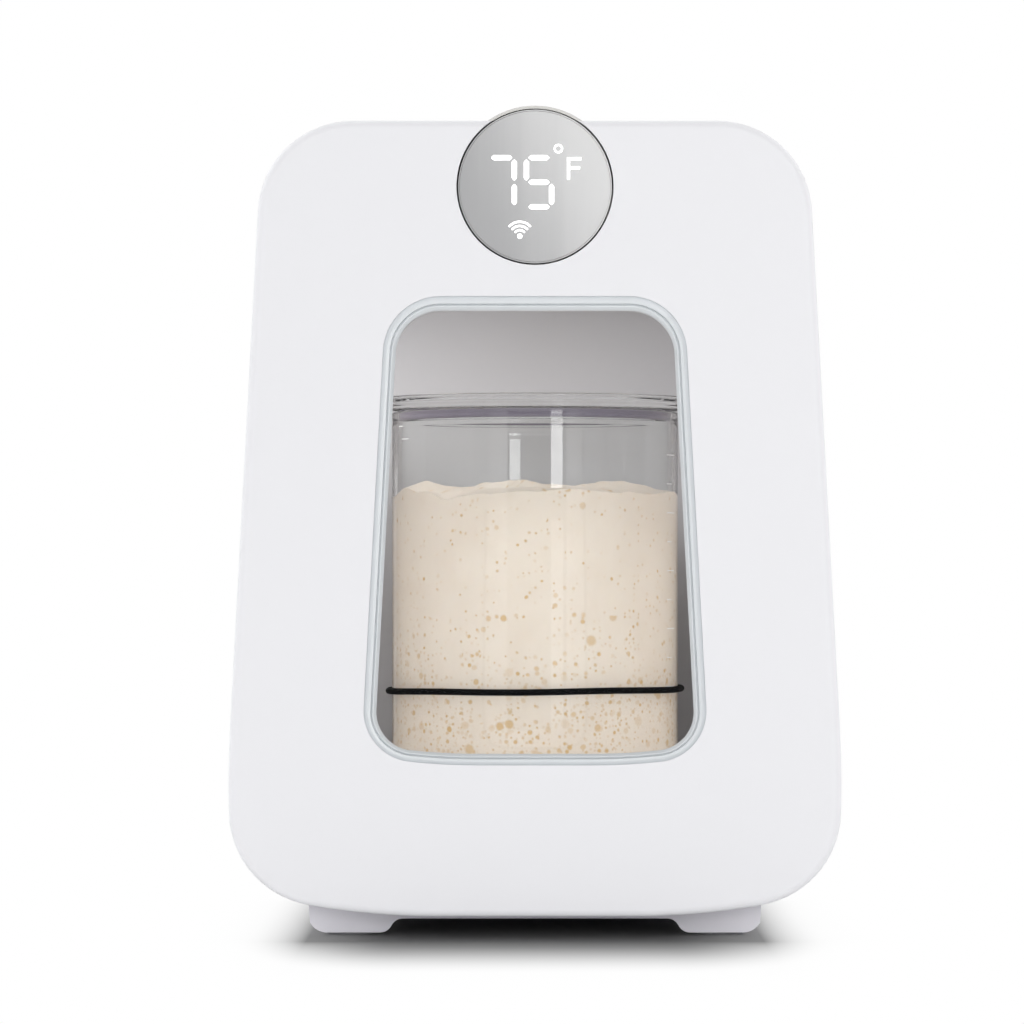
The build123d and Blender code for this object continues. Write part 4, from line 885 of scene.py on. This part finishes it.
def finished(
    name: str, shape: Shape, finish: Finish, body: Body, crease: float = 0.7
) -> bpy.types.Object:
    """Turns a shape into a named piece that rides on a body.

    Args:
        name: The piece's name.
        shape: The shape, which is freed.
        finish: Its finish.
        body: The body that it rides on.
        crease: Angle between faces, in radians, above which an edge stays sharp.

    Returns:
        The piece.
    """
    for face in shape.faces:
        face.smooth = True
    for edge in shape.edges:
        edge.smooth = not edge.is_manifold or edge.calc_face_angle() < crease
    mesh = bpy.data.meshes.new(name)
    shape.to_mesh(mesh)
    shape.free()
    mesh.materials.append(finish.make())
    piece = bpy.data.objects.new(name, mesh)
    bpy.context.scene.collection.objects.link(piece)
    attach(piece, body.value)
    LOG.info("%s: %d faces, rides on %s", name, len(mesh.polygons), body.value)
    return piece


def let_light_through(*pieces: bpy.types.Object) -> None:
    """Lets lamps and bounced light pass clear pieces unhindered.

    Args:
        *pieces: The clear pieces.
    """
    for piece in pieces:
        piece.visible_shadow = False
        piece.visible_diffuse = False


@dataclass(frozen=True)
class Hill:
    """One swell or hollow in the starter's top, in millimetres from the jar's axis."""

    across: float
    depth: float
    rise: float
    spread: float

    def height_at(self, across: float, depth: float) -> float:
        """Rise of this hill at a place on the top, in millimetres."""
        far = ((across - self.across) ** 2 + (depth - self.depth) ** 2) / self.spread**2
        return self.rise * math.exp(-far)


@dataclass(frozen=True)
class Tick:
    """One printed line on the jar: height in millimetres, start and sweep in degrees round it."""

    height: float
    start: float
    sweep: float


@dataclass
class StarterJar:
    """Glass jar with its printed ticks, the starter in it and the rubber marker band, in millimetres.

    The ticks' angles are in degrees. The band's phase and the crease of the starter's top are in radians.
    """

    radius: float = 51.4
    wall: float = 2.0
    bottom: float = 30.3
    top: float = 184.0
    base: float = 5.0
    foot: float = 3.5
    foot_round: float = 1.0
    foot_inset: float = 6.0
    punt: float = 1.4
    punt_inset: float = 9.0
    neck: float = 0.15
    neck_drops: tuple[float, float, float, float] = (4.6, 4.0, 3.2, 2.6)
    fillet: float = 3.0
    fillet_middle: float = 0.9
    support: float = 0.9
    edge_round: float = 0.6
    steps: int = 192
    wetting: float = 0.06
    contact_height: float = 154.6
    wall_steps: int = 12
    top_rings: int = 44
    ring_power: float = 0.8
    top_band: float = 1.0
    top_crease: float = 1.2
    crown: float = 1.6
    crown_power: float = 0.6
    lump: float = 0.9
    lump_scale: float = 0.12
    lump_decay: float = 1.0
    lump_gap: float = 2.0
    lump_octaves: int = 4
    hills: tuple[Hill, ...] = (
        Hill(-39.0, -18.0, 3.6, 7.5),
        Hill(-8.0, -14.0, 3.2, 16.0),
        Hill(29.0, -14.0, 3.5, 13.0),
        Hill(6.0, 22.0, 1.6, 20.0),
        Hill(-31.0, -36.0, -2.0, 5.0),
        Hill(-47.0, -10.0, -1.0, 7.0),
        Hill(-27.0, -41.0, -1.3, 8.0),
        Hill(12.0, -48.0, 0.9, 9.0),
        Hill(40.0, -28.0, -0.8, 8.0),
    )
    band_height: float = 84.6
    band_radius: float = 1.15
    band_gap: float = 0.03
    band_facets: int = 16
    band_tilt: float = 0.007
    band_wave: float = 0.14
    band_waves: int = 5
    band_phase: float = 0.6
    tick_first: float = 86.0
    tick_pitch: float = 10.3
    tick_count: int = 9
    tick_start: float = -24.0
    tick_sweeps: tuple[float, float] = (9.0, 5.0)
    tick_thickness: float = 0.06
    tick_height: float = 0.35
    tick_gap: float = 0.02
    tick_steps: int = 5
    left_ticks: tuple[Tick, ...] = (Tick(174.0, -157.0, 6.0), Tick(178.6, -160.0, 4.0))

    def build(self) -> None:
        """Builds and dresses the jar, the starter, the band and the ticks."""
        low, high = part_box("jar_body")
        axis = (low + high) / 2
        jar = finished("jar_glass", self._glass(axis), JAR_GLASS, Body.JAR)
        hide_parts("jar_body")
        let_light_through(jar)
        batter = self._starter(axis)
        starter = finished("starter_batter", batter, STARTER, Body.JAR, self.top_crease)
        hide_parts("starter")
        band = finished("marker_rubber", self._band(axis), BAND_RUBBER, Body.JAR)
        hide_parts("marker_band")
        band.visible_shadow = False
        finished("jar_ticks", self._ticks(axis), TICK_PRINT, Body.JAR)

    def _glass(self, axis: Vector) -> Shape:
        """Shape of the jar's glass.

        Args:
            axis: A point on the jar's axis.

        Returns:
            The shape.
        """
        outer = self.radius
        inner = outer - self.wall
        waist = outer - self.neck
        floor = self.bottom + self.base
        neck_start, waist_start, waist_end, neck_end = (self.top - drop for drop in self.neck_drops)
        profile = [
            (0.0, self.bottom + self.punt),
            (outer - self.punt_inset, self.bottom + self.punt),
            (outer - self.foot_inset, self.bottom),
            (outer - self.foot, self.bottom),
            (outer - self.foot_round, self.bottom + self.foot_round),
            (outer, self.bottom + self.foot),
            (outer, self.bottom + self.foot + self.support),
            (outer, neck_start - self.support),
            (outer, neck_start),
            (waist, waist_start),
            (waist, waist_end),
            (outer, neck_end),
            (outer, self.top),
            (inner, self.top),
            (inner, self.top - self.support),
            (inner, floor + self.fillet + self.support),
            (inner, floor + self.fillet),
            (inner - self.fillet_middle, floor + self.fillet_middle),
            (inner - self.fillet, floor),
            (0.0, floor),
        ]
        shape = turned(profile, axis, self.steps)
        soften(shape, self.edge_round)
        return shape

    def _starter(self, axis: Vector) -> Shape:
        """Shape of the starter, which wets the glass and heaves up in soft hills.

        Args:
            axis: A point on the jar's axis.

        Returns:
            The shape.
        """
        outer = self.radius - self.wall + self.wetting
        floor = self.bottom + self.base - self.wetting
        straight = self.contact_height - floor - 2 * self.fillet
        profile = [
            (0.0, floor),
            (outer - self.fillet, floor),
            (outer - self.fillet_middle, floor + self.fillet_middle),
        ]
        for step in range(self.wall_steps + 1):
            profile.append((outer, floor + self.fillet + step * straight / self.wall_steps))
        for step in range(self.top_rings + 1):
            profile.append((outer * (1 - step / self.top_rings) ** self.ring_power, self.contact_height))
        shape = turned(profile, axis, self.steps)
        for vert in shape.verts:
            if vert.co.z > (self.contact_height - self.top_band) * MM:
                vert.co.z = self._top_at((vert.co.x - axis.x) / MM, (vert.co.y - axis.y) / MM, outer) * MM
        return shape

    def _top_at(self, across: float, depth: float, outer: float) -> float:
        """Height of the starter's top.

        Args:
            across: Place to the right of the axis.
            depth: Place behind the axis.
            outer: Radius of the starter.

        Returns:
            The height above the table.
        """
        inside = max(0.0, 1 - (across**2 + depth**2) / outer**2)
        height = self.contact_height + self.crown * inside**self.crown_power
        height += sum(hill.height_at(across, depth) for hill in self.hills)
        place = Vector((across, depth, 0.0)) * self.lump_scale
        return height + self.lump * noise.fractal(place, self.lump_decay, self.lump_gap, self.lump_octaves)

    def _band(self, axis: Vector) -> Shape:
        """Shape of the rubber band, stretched round the jar a little askew.

        Args:
            axis: A point on the jar's axis.

        Returns:
            The shape.
        """
        shape = bmesh.new()
        bmesh.ops.create_circle(shape, segments=self.band_facets, radius=self.band_radius * MM)
        bmesh.ops.rotate(shape, verts=shape.verts, matrix=Matrix.Rotation(QUARTER_TURN, 3, "X"))
        reach = (self.radius + self.band_radius + self.band_gap) * MM
        bmesh.ops.translate(shape, verts=shape.verts, vec=(axis.x + reach, axis.y, self.band_height * MM))
        spun(shape, axis, self.steps)
        bmesh.ops.recalc_face_normals(shape, faces=shape.faces)
        for vert in shape.verts:
            around = math.atan2(vert.co.y - axis.y, vert.co.x - axis.x)
            wave = self.band_wave * MM * math.sin(self.band_waves * around + self.band_phase)
            vert.co.z += (vert.co.x - axis.x) * self.band_tilt + wave
        return shape

    def _ticks(self, axis: Vector) -> Shape:
        """Shape of the printed ticks: a short scale on the right and two marks on the left.

        Args:
            axis: A point on the jar's axis.

        Returns:
            The shape.
        """
        shape = bmesh.new()
        ticks = [
            Tick(self.tick_first + self.tick_pitch * step, self.tick_start, self.tick_sweeps[step % 2])
            for step in range(self.tick_count)
        ]
        centre = (axis.x, axis.y, 0.0)
        reach = (self.radius + self.tick_thickness / 2 + self.tick_gap) * MM
        for tick in (*ticks, *self.left_ticks):
            verts = bmesh.ops.create_grid(shape, x_segments=1, y_segments=1, size=0.5)["verts"]
            bmesh.ops.scale(shape, verts=verts, vec=(self.tick_thickness * MM, self.tick_height * MM, 1.0))
            bmesh.ops.rotate(shape, verts=verts, matrix=Matrix.Rotation(QUARTER_TURN, 3, "X"))
            bmesh.ops.translate(shape, verts=verts, vec=(axis.x + reach, axis.y, tick.height * MM))
            start = Matrix.Rotation(math.radians(tick.start), 3, "Z")
            bmesh.ops.rotate(shape, verts=verts, cent=centre, matrix=start)
            faces = {face for vert in verts for face in vert.link_faces}
            edges = {edge for vert in verts for edge in vert.link_edges}
            bmesh.ops.spin(
                shape,
                geom=[*verts, *edges, *faces],
                cent=centre,
                axis=UPWARD,
                angle=math.radians(tick.sweep),
                steps=self.tick_steps,
            )
        bmesh.ops.recalc_face_normals(shape, faces=shape.faces)
        return shape


@dataclass
class JarLid:
    """Clear lid with a grooved rim and the ribbed gasket round its plug, in millimetres."""

    radius: float = 55.0
    bottom: float = 184.3
    top: float = 189.3
    rim_flat: float = 0.4
    rim_drop: float = 0.35
    groove: float = 0.3
    groove_half: float = 1.0
    groove_floor: float = 0.4
    plug_radius: float = 47.4
    plug_bottom: float = 180.0
    plug_wall: float = 3.0
    plug_floor: float = 0.6
    dish: float = 0.45
    dish_inset: float = 1.5
    dish_shoulder: float = 1.0
    support: float = 0.9
    edge_round: float = 0.35
    gasket_gap: float = 0.05
    gasket_body: float = 1.4
    gasket_reach: float = 1.75
    gasket_low: float = 181.2
    gasket_high: float = 183.9
    gasket_ribs: tuple[float, float, float] = (0.6, 1.4, 2.1)
    gasket_round: float = 0.25
    steps: int = 192

    def build(self) -> None:
        """Builds and dresses the lid and its gasket."""
        low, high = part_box("jar_lid")
        axis = (low + high) / 2
        lid = finished("lid_glass", self._lid(axis), LID_GLASS, Body.LID)
        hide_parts("jar_lid")
        let_light_through(lid)
        gasket = finished("lid_seal", self._gasket(axis), GASKET_RUBBER, Body.LID)
        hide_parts("lid_gasket")

    def _lid(self, axis: Vector) -> Shape:
        """Shape of the lid.

        Args:
            axis: A point on the lid's axis.

        Returns:
            The shape.
        """
        middle = (self.bottom + self.top) / 2
        dish = self.top - self.dish
        dish_radius = self.plug_radius - self.dish_inset
        inner = self.plug_radius - self.plug_wall
        floor = self.bottom + self.plug_floor
        profile = [
            (0.0, dish),
            (dish_radius - self.support, dish),
            (dish_radius, dish),
            (self.plug_radius + self.dish_shoulder, self.top),
            (self.radius - self.rim_flat, self.top),
            (self.radius, self.top - self.rim_drop),
            (self.radius, middle + self.groove_half),
            (self.radius - self.groove, middle + self.groove_floor),
            (self.radius - self.groove, middle - self.groove_floor),
            (self.radius, middle - self.groove_half),
            (self.radius, self.bottom + self.rim_drop),
            (self.radius - self.rim_flat, self.bottom),
            (self.plug_radius, self.bottom),
            (self.plug_radius, self.plug_bottom),
            (inner, self.plug_bottom),
            (inner, floor),
            (inner - self.support, floor),
            (0.0, floor),
        ]
        shape = turned(profile, axis, self.steps)
        soften(shape, self.edge_round)
        return shape

    def _gasket(self, axis: Vector) -> Shape:
        """Shape of the gasket, with two sealing ribs.

        Args:
            axis: A point on the lid's axis.

        Returns:
            The shape.
        """
        inner = self.plug_radius + self.gasket_gap
        waist = inner + self.gasket_body
        outer = inner + self.gasket_reach
        third = (self.gasket_high - self.gasket_low) / 3
        upper_rib, groove, lower_rib = (self.gasket_high - share * third for share in self.gasket_ribs)
        profile = [
            (inner, self.gasket_high),
            (waist, self.gasket_high),
            (outer, upper_rib),
            (waist, groove),
            (outer, lower_rib),
            (waist, self.gasket_low),
            (inner, self.gasket_low),
        ]
        shape = turned(profile, axis, self.steps, closed=True)
        soften(shape, self.gasket_round)
        return shape


@dataclass
class HeatPlate:
    """Coated plate in the chamber's back, which fills its recess to a hair, in millimetres."""

    spread: float = 0.17
    edge: float = 0.4
    edge_segments: int = 2

    def build(self) -> None:
        """Builds and dresses the plate."""
        low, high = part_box("chamber_plate")
        middle = (low + high) / 2
        shape = bmesh.new()
        bmesh.ops.create_cube(shape, size=1.0)
        grown = Vector((2 * self.spread, 0.0, 2 * self.spread)) * MM
        bmesh.ops.scale(shape, verts=shape.verts, vec=high - low + grown)
        bmesh.ops.translate(shape, verts=shape.verts, vec=middle)
        rear = [edge for edge in shape.edges if all(vert.co.y > middle.y for vert in edge.verts)]
        rounded(shape, rear, self.edge, self.edge_segments)
        plate = finished("heat_plate", shape, PLATE_COAT, Body.CABINET)
        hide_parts("chamber_plate")


class Sweep:
    """Carries a section along an upright path that turns to the left, in millimetres and degrees."""

    def __init__(self, shape: Shape, section: list, start: Vector) -> None:
        """Starts with the section at a place, heading to the right.

        Args:
            shape: The shape that the section is in.
            section: The section's vertices and edges.
            start: Where the path starts, in metres.
        """
        self.shape = shape
        self.ring = section
        self.place = start
        self.heading = 0.0

    @staticmethod
    def way(heading: float) -> Vector:
        """Direction of a heading, 0 to the right and 90 up."""
        return Vector((math.cos(math.radians(heading)), 0.0, math.sin(math.radians(heading))))

    def run(self, length: float) -> None:
        """Carries the section straight on.

        Args:
            length: Length of the run.
        """
        step = self.way(self.heading) * length * MM
        old = [item for item in self.ring if isinstance(item, bmesh.types.BMEdge)]
        made = bmesh.ops.extrude_edge_only(self.shape, edges=old)["geom"]
        verts = [item for item in made if isinstance(item, bmesh.types.BMVert)]
        edges = [item for item in made if isinstance(item, bmesh.types.BMEdge)]
        bmesh.ops.translate(self.shape, verts=verts, vec=step)
        self.ring = verts + [edge for edge in edges if set(edge.verts) <= set(verts)]
        self.place = self.place + step

    def turn(self, radius: float, angle: float, steps: int) -> None:
        """Carries the section round to the left.

        Args:
            radius: Radius of the path.
            angle: Angle of the turn.
            steps: Number of steps.
        """
        centre = self.place + self.way(self.heading + 90) * radius * MM
        made = bmesh.ops.spin(
            self.shape,
            geom=self.ring,
            cent=centre,
            axis=FRONTWARD,
            angle=math.radians(angle),
            steps=steps,
        )
        self.ring = made["geom_last"]
        self.heading += angle
        self.place = centre + self.way(self.heading - 90) * radius * MM


@dataclass
class WindowTrim:
    """Two-step sloping trim swept round the window, in millimetres and degrees.

    Each point of the section is its inset from the window's edge and its depth behind the door's face.
    """

    bottom: float = 60.3
    flat: float = 20.0
    bow_radius: float = 214.2
    bow_angle: float = 6.2
    bow_steps: int = 10
    corner_radius: float = 17.4
    corner_steps: int = 28
    side: float = 122.6
    side_lean: float = 3.08
    top_radius: float = 19.7
    width: float = 4.3
    low_shift: float = -0.4
    high_shift: float = -0.5
    height: float = 160.0
    crease: float = 0.45
    section: tuple[Pair, ...] = (
        (0.02, 8.0),
        (0.02, 1.15),
        (0.3, 0.9),
        (1.3, 0.55),
        (2.3, 0.7),
        (2.45, 2.2),
        (2.8, 2.2),
        (2.92, 1.25),
        (3.3, 1.25),
        (4.05, 2.0),
        (4.3, 2.4),
        (4.3, 2.95),
        (2.3, 2.95),
        (2.3, 8.0),
    )

    def build(self) -> None:
        """Builds and dresses the trim."""
        trim = finished("window_surround", self._swept(), TRIM, Body.DOOR, self.crease)
        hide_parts("window_trim")

    def _swept(self) -> Shape:
        """Sweeps the section round half of the window, then mirrors it.

        Returns:
            The shape.
        """
        face_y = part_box("door_shell")[0].y
        shape = bmesh.new()
        inset_of = shape.verts.layers.float.new("inset")
        verts = []
        for inset, depth in self.section:
            vert = shape.verts.new((0.0, face_y + depth * MM, (self.bottom + inset) * MM))
            vert[inset_of] = inset
            verts.append(vert)
        edges = [shape.edges.new((verts[step], verts[step - 1])) for step in range(len(verts))]
        sweep = Sweep(shape, verts + edges, Vector((0.0, 0.0, self.bottom * MM)))
        sweep.run(self.flat)
        sweep.turn(self.bow_radius, self.bow_angle, self.bow_steps)
        sweep.turn(self.corner_radius, 90 + self.side_lean - self.bow_angle, self.corner_steps)
        sweep.run(self.side)
        sweep.turn(self.top_radius, 90 - self.side_lean, self.corner_steps)
        sweep.run(sweep.place.x / MM)
        for vert in shape.verts:
            share = (vert.co.z / MM - self.bottom) / self.height
            shift = self.low_shift + (self.high_shift - self.low_shift) * min(1.0, max(0.0, share))
            vert.co.z += shift * MM * vert[inset_of] / self.width
        bmesh.ops.mirror(
            shape,
            geom=shape.verts[:] + shape.edges[:] + shape.faces[:],
            matrix=Matrix.Identity(4),
            merge_dist=WELD,
            axis="X",
        )
        bmesh.ops.remove_doubles(shape, verts=shape.verts, dist=2 * WELD)
        bmesh.ops.recalc_face_normals(shape, faces=shape.faces)
        return shape


@dataclass
class CarriedParts:
    """Finishes for the parts whose shape comes from the frame as it is."""

    groups: tuple[tuple[Finish, tuple[str, ...]], ...] = (
        (WHITE, ("cabinet_shell", "rear_cover", "door_shell")),
        (FRAME_WHITE, ("front_frame", "door_panel")),
        (SHADED_BARREL_WHITE, ("dial_barrel",)),
        (LINER, ("liner",)),
        (FEET, ("base", "hinge_blocks")),
        (PAD_RUBBER, ("foot_pads", "dial_cable")),
        (SEAL_RUBBER, ("door_seal",)),
        (DARK_RUBBER, ("jar_mat",)),
        (TRIM, ("window_spacer", "temperature_sensor", "switch_plunger")),
        (BEAD_FOAM, ("insulation_left", "insulation_right", "insulation_rear", "door_foam")),
        (ALUMINIUM, ("spacer_block", "heat_sink")),
        (CERAMIC, ("thermoelectric_module",)),
        (STEEL, ("strike_plates", "hinge_arms", "hinge_pins", "door_magnets", "code_ring")),
        (SCREWS, ("front_frame_screws", "sink_screws", "fan_screws", "rear_cover_screws")),
        (SCREWS, ("board_screws", "base_screws", "hinge_screws", "door_screws")),
        (BLACK, ("fan_frame", "fan_rotor", "inlet_socket", "dial_carrier")),
        (BLACK, ("board_parts", "press_switch", "encoder_reader")),
        (BOARD, ("main_board", "control_board", "display_board")),
        (DIAL, ("display_lens", "dial_ring")),
        (LIGHT, ("display_segments",)),
        (PANE, ("outer_pane", "inner_pane")),
    )

    def dress(self, nodes: dict[str, bpy.types.Object]) -> None:
        """Gives each part its finish.

        Args:
            nodes: The frame's objects by node name.
        """
        for finish, names in self.groups:
            for name in names:
                for slot in nodes[name].material_slots:
                    slot.material = finish.make()
                LOG.info("%s: %s", name, finish.name)
        let_light_through(nodes["outer_pane"], nodes["inner_pane"])


@dataclass(frozen=True)
class SoftBox:
    """A rectangular lamp, in metres and watts, that looks at the cabinet or in a stated direction."""

    name: str
    place: Triple
    width: float
    height: float
    power: float
    color: Color = (1.0, 1.0, 1.0)
    in_reflections: bool = False
    facing: Triple | None = None
    target: Triple = (0.0, 0.0, 0.14)

    def build(self) -> None:
        """Adds the lamp."""
        data = bpy.data.lights.new(self.name, "AREA")
        data.shape = "RECTANGLE"
        data.size, data.size_y = self.width, self.height
        data.energy = self.power
        data.color = self.color
        lamp = bpy.data.objects.new(self.name, data)
        lamp.location = self.place
        way = Vector(self.facing) if self.facing else Vector(self.target) - Vector(self.place)
        lamp.rotation_euler = way.to_track_quat("-Z", "Y").to_euler()
        lamp.visible_camera = False
        lamp.visible_diffuse = not self.in_reflections
        lamp.visible_glossy = self.in_reflections
        lamp.visible_transmission = self.in_reflections
        bpy.context.scene.collection.objects.link(lamp)


@dataclass
class Studio:
    """Pale floor, soft light and the camera at the photograph's place, in metres.

    Sensor and lens are in millimetres, and the image's size, centre column and horizon row in pixels.
    """

    image_size: int = 1024
    sensor: float = 36.0
    lens: float = 185.0
    far_limit: float = 100.0
    camera_distance: float = 1.8
    camera_height: float = 0.1203
    centre_column: float = 535.0
    horizon_row: float = 590.0
    floor_size: float = 60.0
    ambient: float = 0.35
    floor_color: float = 0.88
    # Painted shadow: the seen floor's dark diffuse colour round the cabinet, which the lamps' shadow darkens
    # further.
    painted_shadow_color: float = 0.24
    floor_bounce: float = 0.7
    fade_start: float = 0.25
    fade_end: float = 0.9
    # Reach of the painted shadow round the cabinet, and of its deeper painted darkening beside the feet and
    # in front.
    shadow_half_width: float = 0.045
    shadow_half_depth: float = 0.116
    shadow_side_reach: float = 0.055
    shadow_front_reach: float = 0.15
    foot_reach: float = 0.0784
    contact_reach: float = 0.006
    contact_depth: float = 0.03
    painted_contact_strength: float = 0.85
    lamps: tuple[SoftBox, ...] = (
        SoftBox("front_left", (-0.4, -2.7, 0.2), 1.3, 0.84, 15.4, (0.97, 0.98, 1.0)),
        SoftBox("front_right", (0.6, -2.7, 0.2), 1.2, 0.84, 12.4, (1.0, 0.99, 0.965)),
        SoftBox("front_high", (-0.15, -2.5, 1.2), 1.6, 0.7, 10.2),
        SoftBox("top_rear", (0.0, 0.45, 1.9), 1.0, 0.6, 6.0),
        SoftBox("left_side", (-1.8, 0.35, 1.2), 1.0, 1.0, 19.0),
        SoftBox("right_side", (1.8, 0.35, 1.2), 1.0, 1.0, 17.0),
        SoftBox("back", (0.3, 2.5, 0.9), 1.5, 1.2, 17.0),
        SoftBox("strip_right", (0.46, -1.5, 0.47), 0.26, 0.58, 2.9, in_reflections=True),
        SoftBox("strip_low", (0.46, -1.5, -0.13), 0.26, 0.6, 0.6, in_reflections=True),
        SoftBox("strip_far_right", (1.45, -0.45, 0.5), 0.3, 1.0, 1.6, in_reflections=True),
        SoftBox("strip_left", (-1.05, -1.1, 0.5), 0.12, 1.0, 0.6, in_reflections=True),
        SoftBox("chamber_left", (-0.0605, -0.021, 0.195), 0.115, 0.055, 0.022, facing=RIGHTWARD),
        SoftBox("chamber_right", (0.0605, -0.021, 0.18), 0.115, 0.085, 0.011, facing=LEFTWARD),
        SoftBox("chamber_top", (-0.01, -0.03, 0.2245), 0.09, 0.10, 0.04, facing=(0.0, 0.08, -0.2245)),
        SoftBox("chamber_front", (0.0, -0.0835, 0.089), 0.11, 0.12, 0.0089, facing=REARWARD),
        SoftBox("chamber_low_front", (0.0, -0.0835, 0.044), 0.11, 0.03, 0.0018, facing=REARWARD),
        SoftBox("gap_left", (-0.057, -0.013, 0.1), 0.008, 0.13, 0.0075, facing=REARWARD),
        SoftBox("gap_right", (0.057, -0.013, 0.1), 0.008, 0.13, 0.0022, facing=REARWARD),
        SoftBox("chamber_low_left", (-0.0605, -0.055, 0.09), 0.05, 0.12, 0.009, facing=RIGHTWARD),
        SoftBox("chamber_low_right", (0.0605, -0.055, 0.09), 0.05, 0.12, 0.011, facing=LEFTWARD),
    )

    def build(self, face_y: float) -> None:
        """Builds the studio.

        Args:
            face_y: Where the door's front face lies.
        """
        scene = bpy.context.scene
        scene.view_settings.view_transform = "Standard"
        self._camera(scene, face_y)
        self._world(scene)
        self._floor()
        for lamp in self.lamps:
            lamp.build()

    def _camera(self, scene: bpy.types.Scene, face_y: float) -> None:
        """Adds the level camera, shifted as the photograph is framed.

        Args:
            scene: The scene.
            face_y: Where the door's front face lies.
        """
        data = bpy.data.cameras.new("camera")
        data.sensor_width = self.sensor
        data.lens = self.lens
        half = self.image_size / 2
        data.shift_x = (half - self.centre_column) / self.image_size
        data.shift_y = (self.horizon_row - half) / self.image_size
        data.clip_end = self.far_limit
        camera = bpy.data.objects.new("camera", data)
        camera.location = (0.0, face_y - self.camera_distance, self.camera_height)
        camera.rotation_euler = (QUARTER_TURN, 0.0, 0.0)
        scene.collection.objects.link(camera)
        scene.camera = camera

    @staticmethod
    def _seen(graph: Graph) -> Socket:
        """Adds a mask of the rays that show the background.

        Args:
            graph: The graph to add to.

        Returns:
            A socket that is 1 for camera, glossy and transmission rays.
        """
        path = graph.add("ShaderNodeLightPath")
        rays = [path.outputs[f"Is {kind} Ray"] for kind in ("Glossy", "Transmission", "Camera")]
        return graph.math("MAXIMUM", *rays)

    @staticmethod
    def _either(graph: Graph, seen: Socket, shown: object, hidden: object) -> Socket:
        """Adds one value for rays that show the background and another for the rest.

        Args:
            graph: The graph to add to.
            seen: The mask of rays that show the background.
            shown: Value for those rays.
            hidden: Value for the others.

        Returns:
            The chosen value's socket.
        """
        unseen = graph.math("SUBTRACT", 1.0, seen)
        return graph.math("ADD", graph.math("MULTIPLY", seen, shown), graph.math("MULTIPLY", unseen, hidden))

    def _world(self, scene: bpy.types.Scene) -> None:
        """Adds an even pale world that is white where it is seen.

        Args:
            scene: The scene.
        """
        world = bpy.data.worlds.new("studio")
        world.use_nodes = True
        graph = Graph(world.node_tree)
        strength = self._either(graph, self._seen(graph), 1.0, self.ambient)
        background = graph.add("ShaderNodeBackground", {"Color": (1.0, 1.0, 1.0, 1.0), "Strength": strength})
        graph.add("ShaderNodeOutputWorld", {"Surface": background.outputs[0]})
        scene.world = world

    def _painted_shadow_mask(self, graph: Graph, place: Socket) -> Socket:
        """Adds the mask of the painted shadow, by which the seen floor turns from a painted dark patch round
        the cabinet to plain white.

        Args:
            graph: The floor's graph.
            place: Object coordinates.

        Returns:
            A mask that is 0 under the cabinet and 1 away from it.
        """

        def beyond(axis: str, limit: float) -> Socket:
            """Adds how far a place lies outside a limit on either side of the middle."""
            away = graph.math("ABSOLUTE", axes.outputs[axis])
            return graph.math("MAXIMUM", graph.math("SUBTRACT", away, limit), 0.0)

        axes = graph.add("ShaderNodeSeparateXYZ", {0: place})
        front = beyond("Y", self.shadow_half_depth)
        beside = graph.math("DIVIDE", beyond("X", self.shadow_half_width), self.shadow_side_reach)
        before = graph.math("DIVIDE", front, self.shadow_front_reach)
        squares = [graph.math("POWER", side, 2.0) for side in (beside, before)]
        edge = graph.ramp(graph.math("SQRT", graph.math("ADD", *squares)), 0.0, 1.0)
        # Painted shadow: the patch darkens further under the cabinet and close beside and in front of it.
        out = graph.math("DIVIDE", beyond("X", self.foot_reach), -self.contact_reach)
        ahead = graph.math("DIVIDE", front, -self.contact_depth)
        nearness = graph.math("EXPONENT", graph.math("ADD", out, ahead))
        painted_contact_shadow = graph.math("MULTIPLY", nearness, self.painted_contact_strength)
        return graph.math("MULTIPLY", edge, graph.math("SUBTRACT", 1.0, painted_contact_shadow))

    def _floor(self) -> None:
        """Adds the floor, which is white where it is seen, keeps the lamps' shadow and carries a painted
        shadow round the cabinet.
        """
        mesh = bpy.data.meshes.new("floor")
        shape = bmesh.new()
        bmesh.ops.create_grid(shape, x_segments=1, y_segments=1, size=self.floor_size / 2)
        shape.to_mesh(mesh)
        shape.free()
        floor = bpy.data.objects.new("floor", mesh)
        bpy.context.scene.collection.objects.link(floor)
        material = bpy.data.materials.new("floor")
        material.use_nodes = True
        graph = Graph(material.node_tree)
        seen = self._seen(graph)
        place = graph.place()
        # Painted shadow: seen rays get the dark floor colour, the others the plain one.
        level = self._either(graph, seen, self.painted_shadow_color, self.floor_color)
        diffuse = graph.add("ShaderNodeBsdfDiffuse", {"Color": level})
        glow = self._either(graph, seen, 1.0, self.floor_bounce)
        white = graph.add("ShaderNodeEmission", {"Color": (1.0, 1.0, 1.0, 1.0), "Strength": glow})
        away = graph.add("ShaderNodeVectorMath", {0: place}, operation="LENGTH").outputs["Value"]
        fade = graph.ramp(away, self.fade_start, self.fade_end)
        edge = self._either(graph, seen, self._painted_shadow_mask(graph, place), fade)
        both = graph.add("ShaderNodeMixShader", {0: edge, 1: diffuse.outputs[0], 2: white.outputs[0]})
        graph.add("ShaderNodeOutputMaterial", {"Surface": both.outputs[0]})
        mesh.materials.append(material)


def main() -> None:
    """Builds the looks in order."""
    logging.basicConfig(level=logging.INFO, format="%(name)s %(message)s")
    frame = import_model()
    face_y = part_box("door_shell")[0].y
    CarriedParts().dress(frame["nodes"])
    StarterJar().build()
    JarLid().build()
    HeatPlate().build()
    WindowTrim().build()
    Studio().build(face_y)


if __name__ == "__main__":
    main()
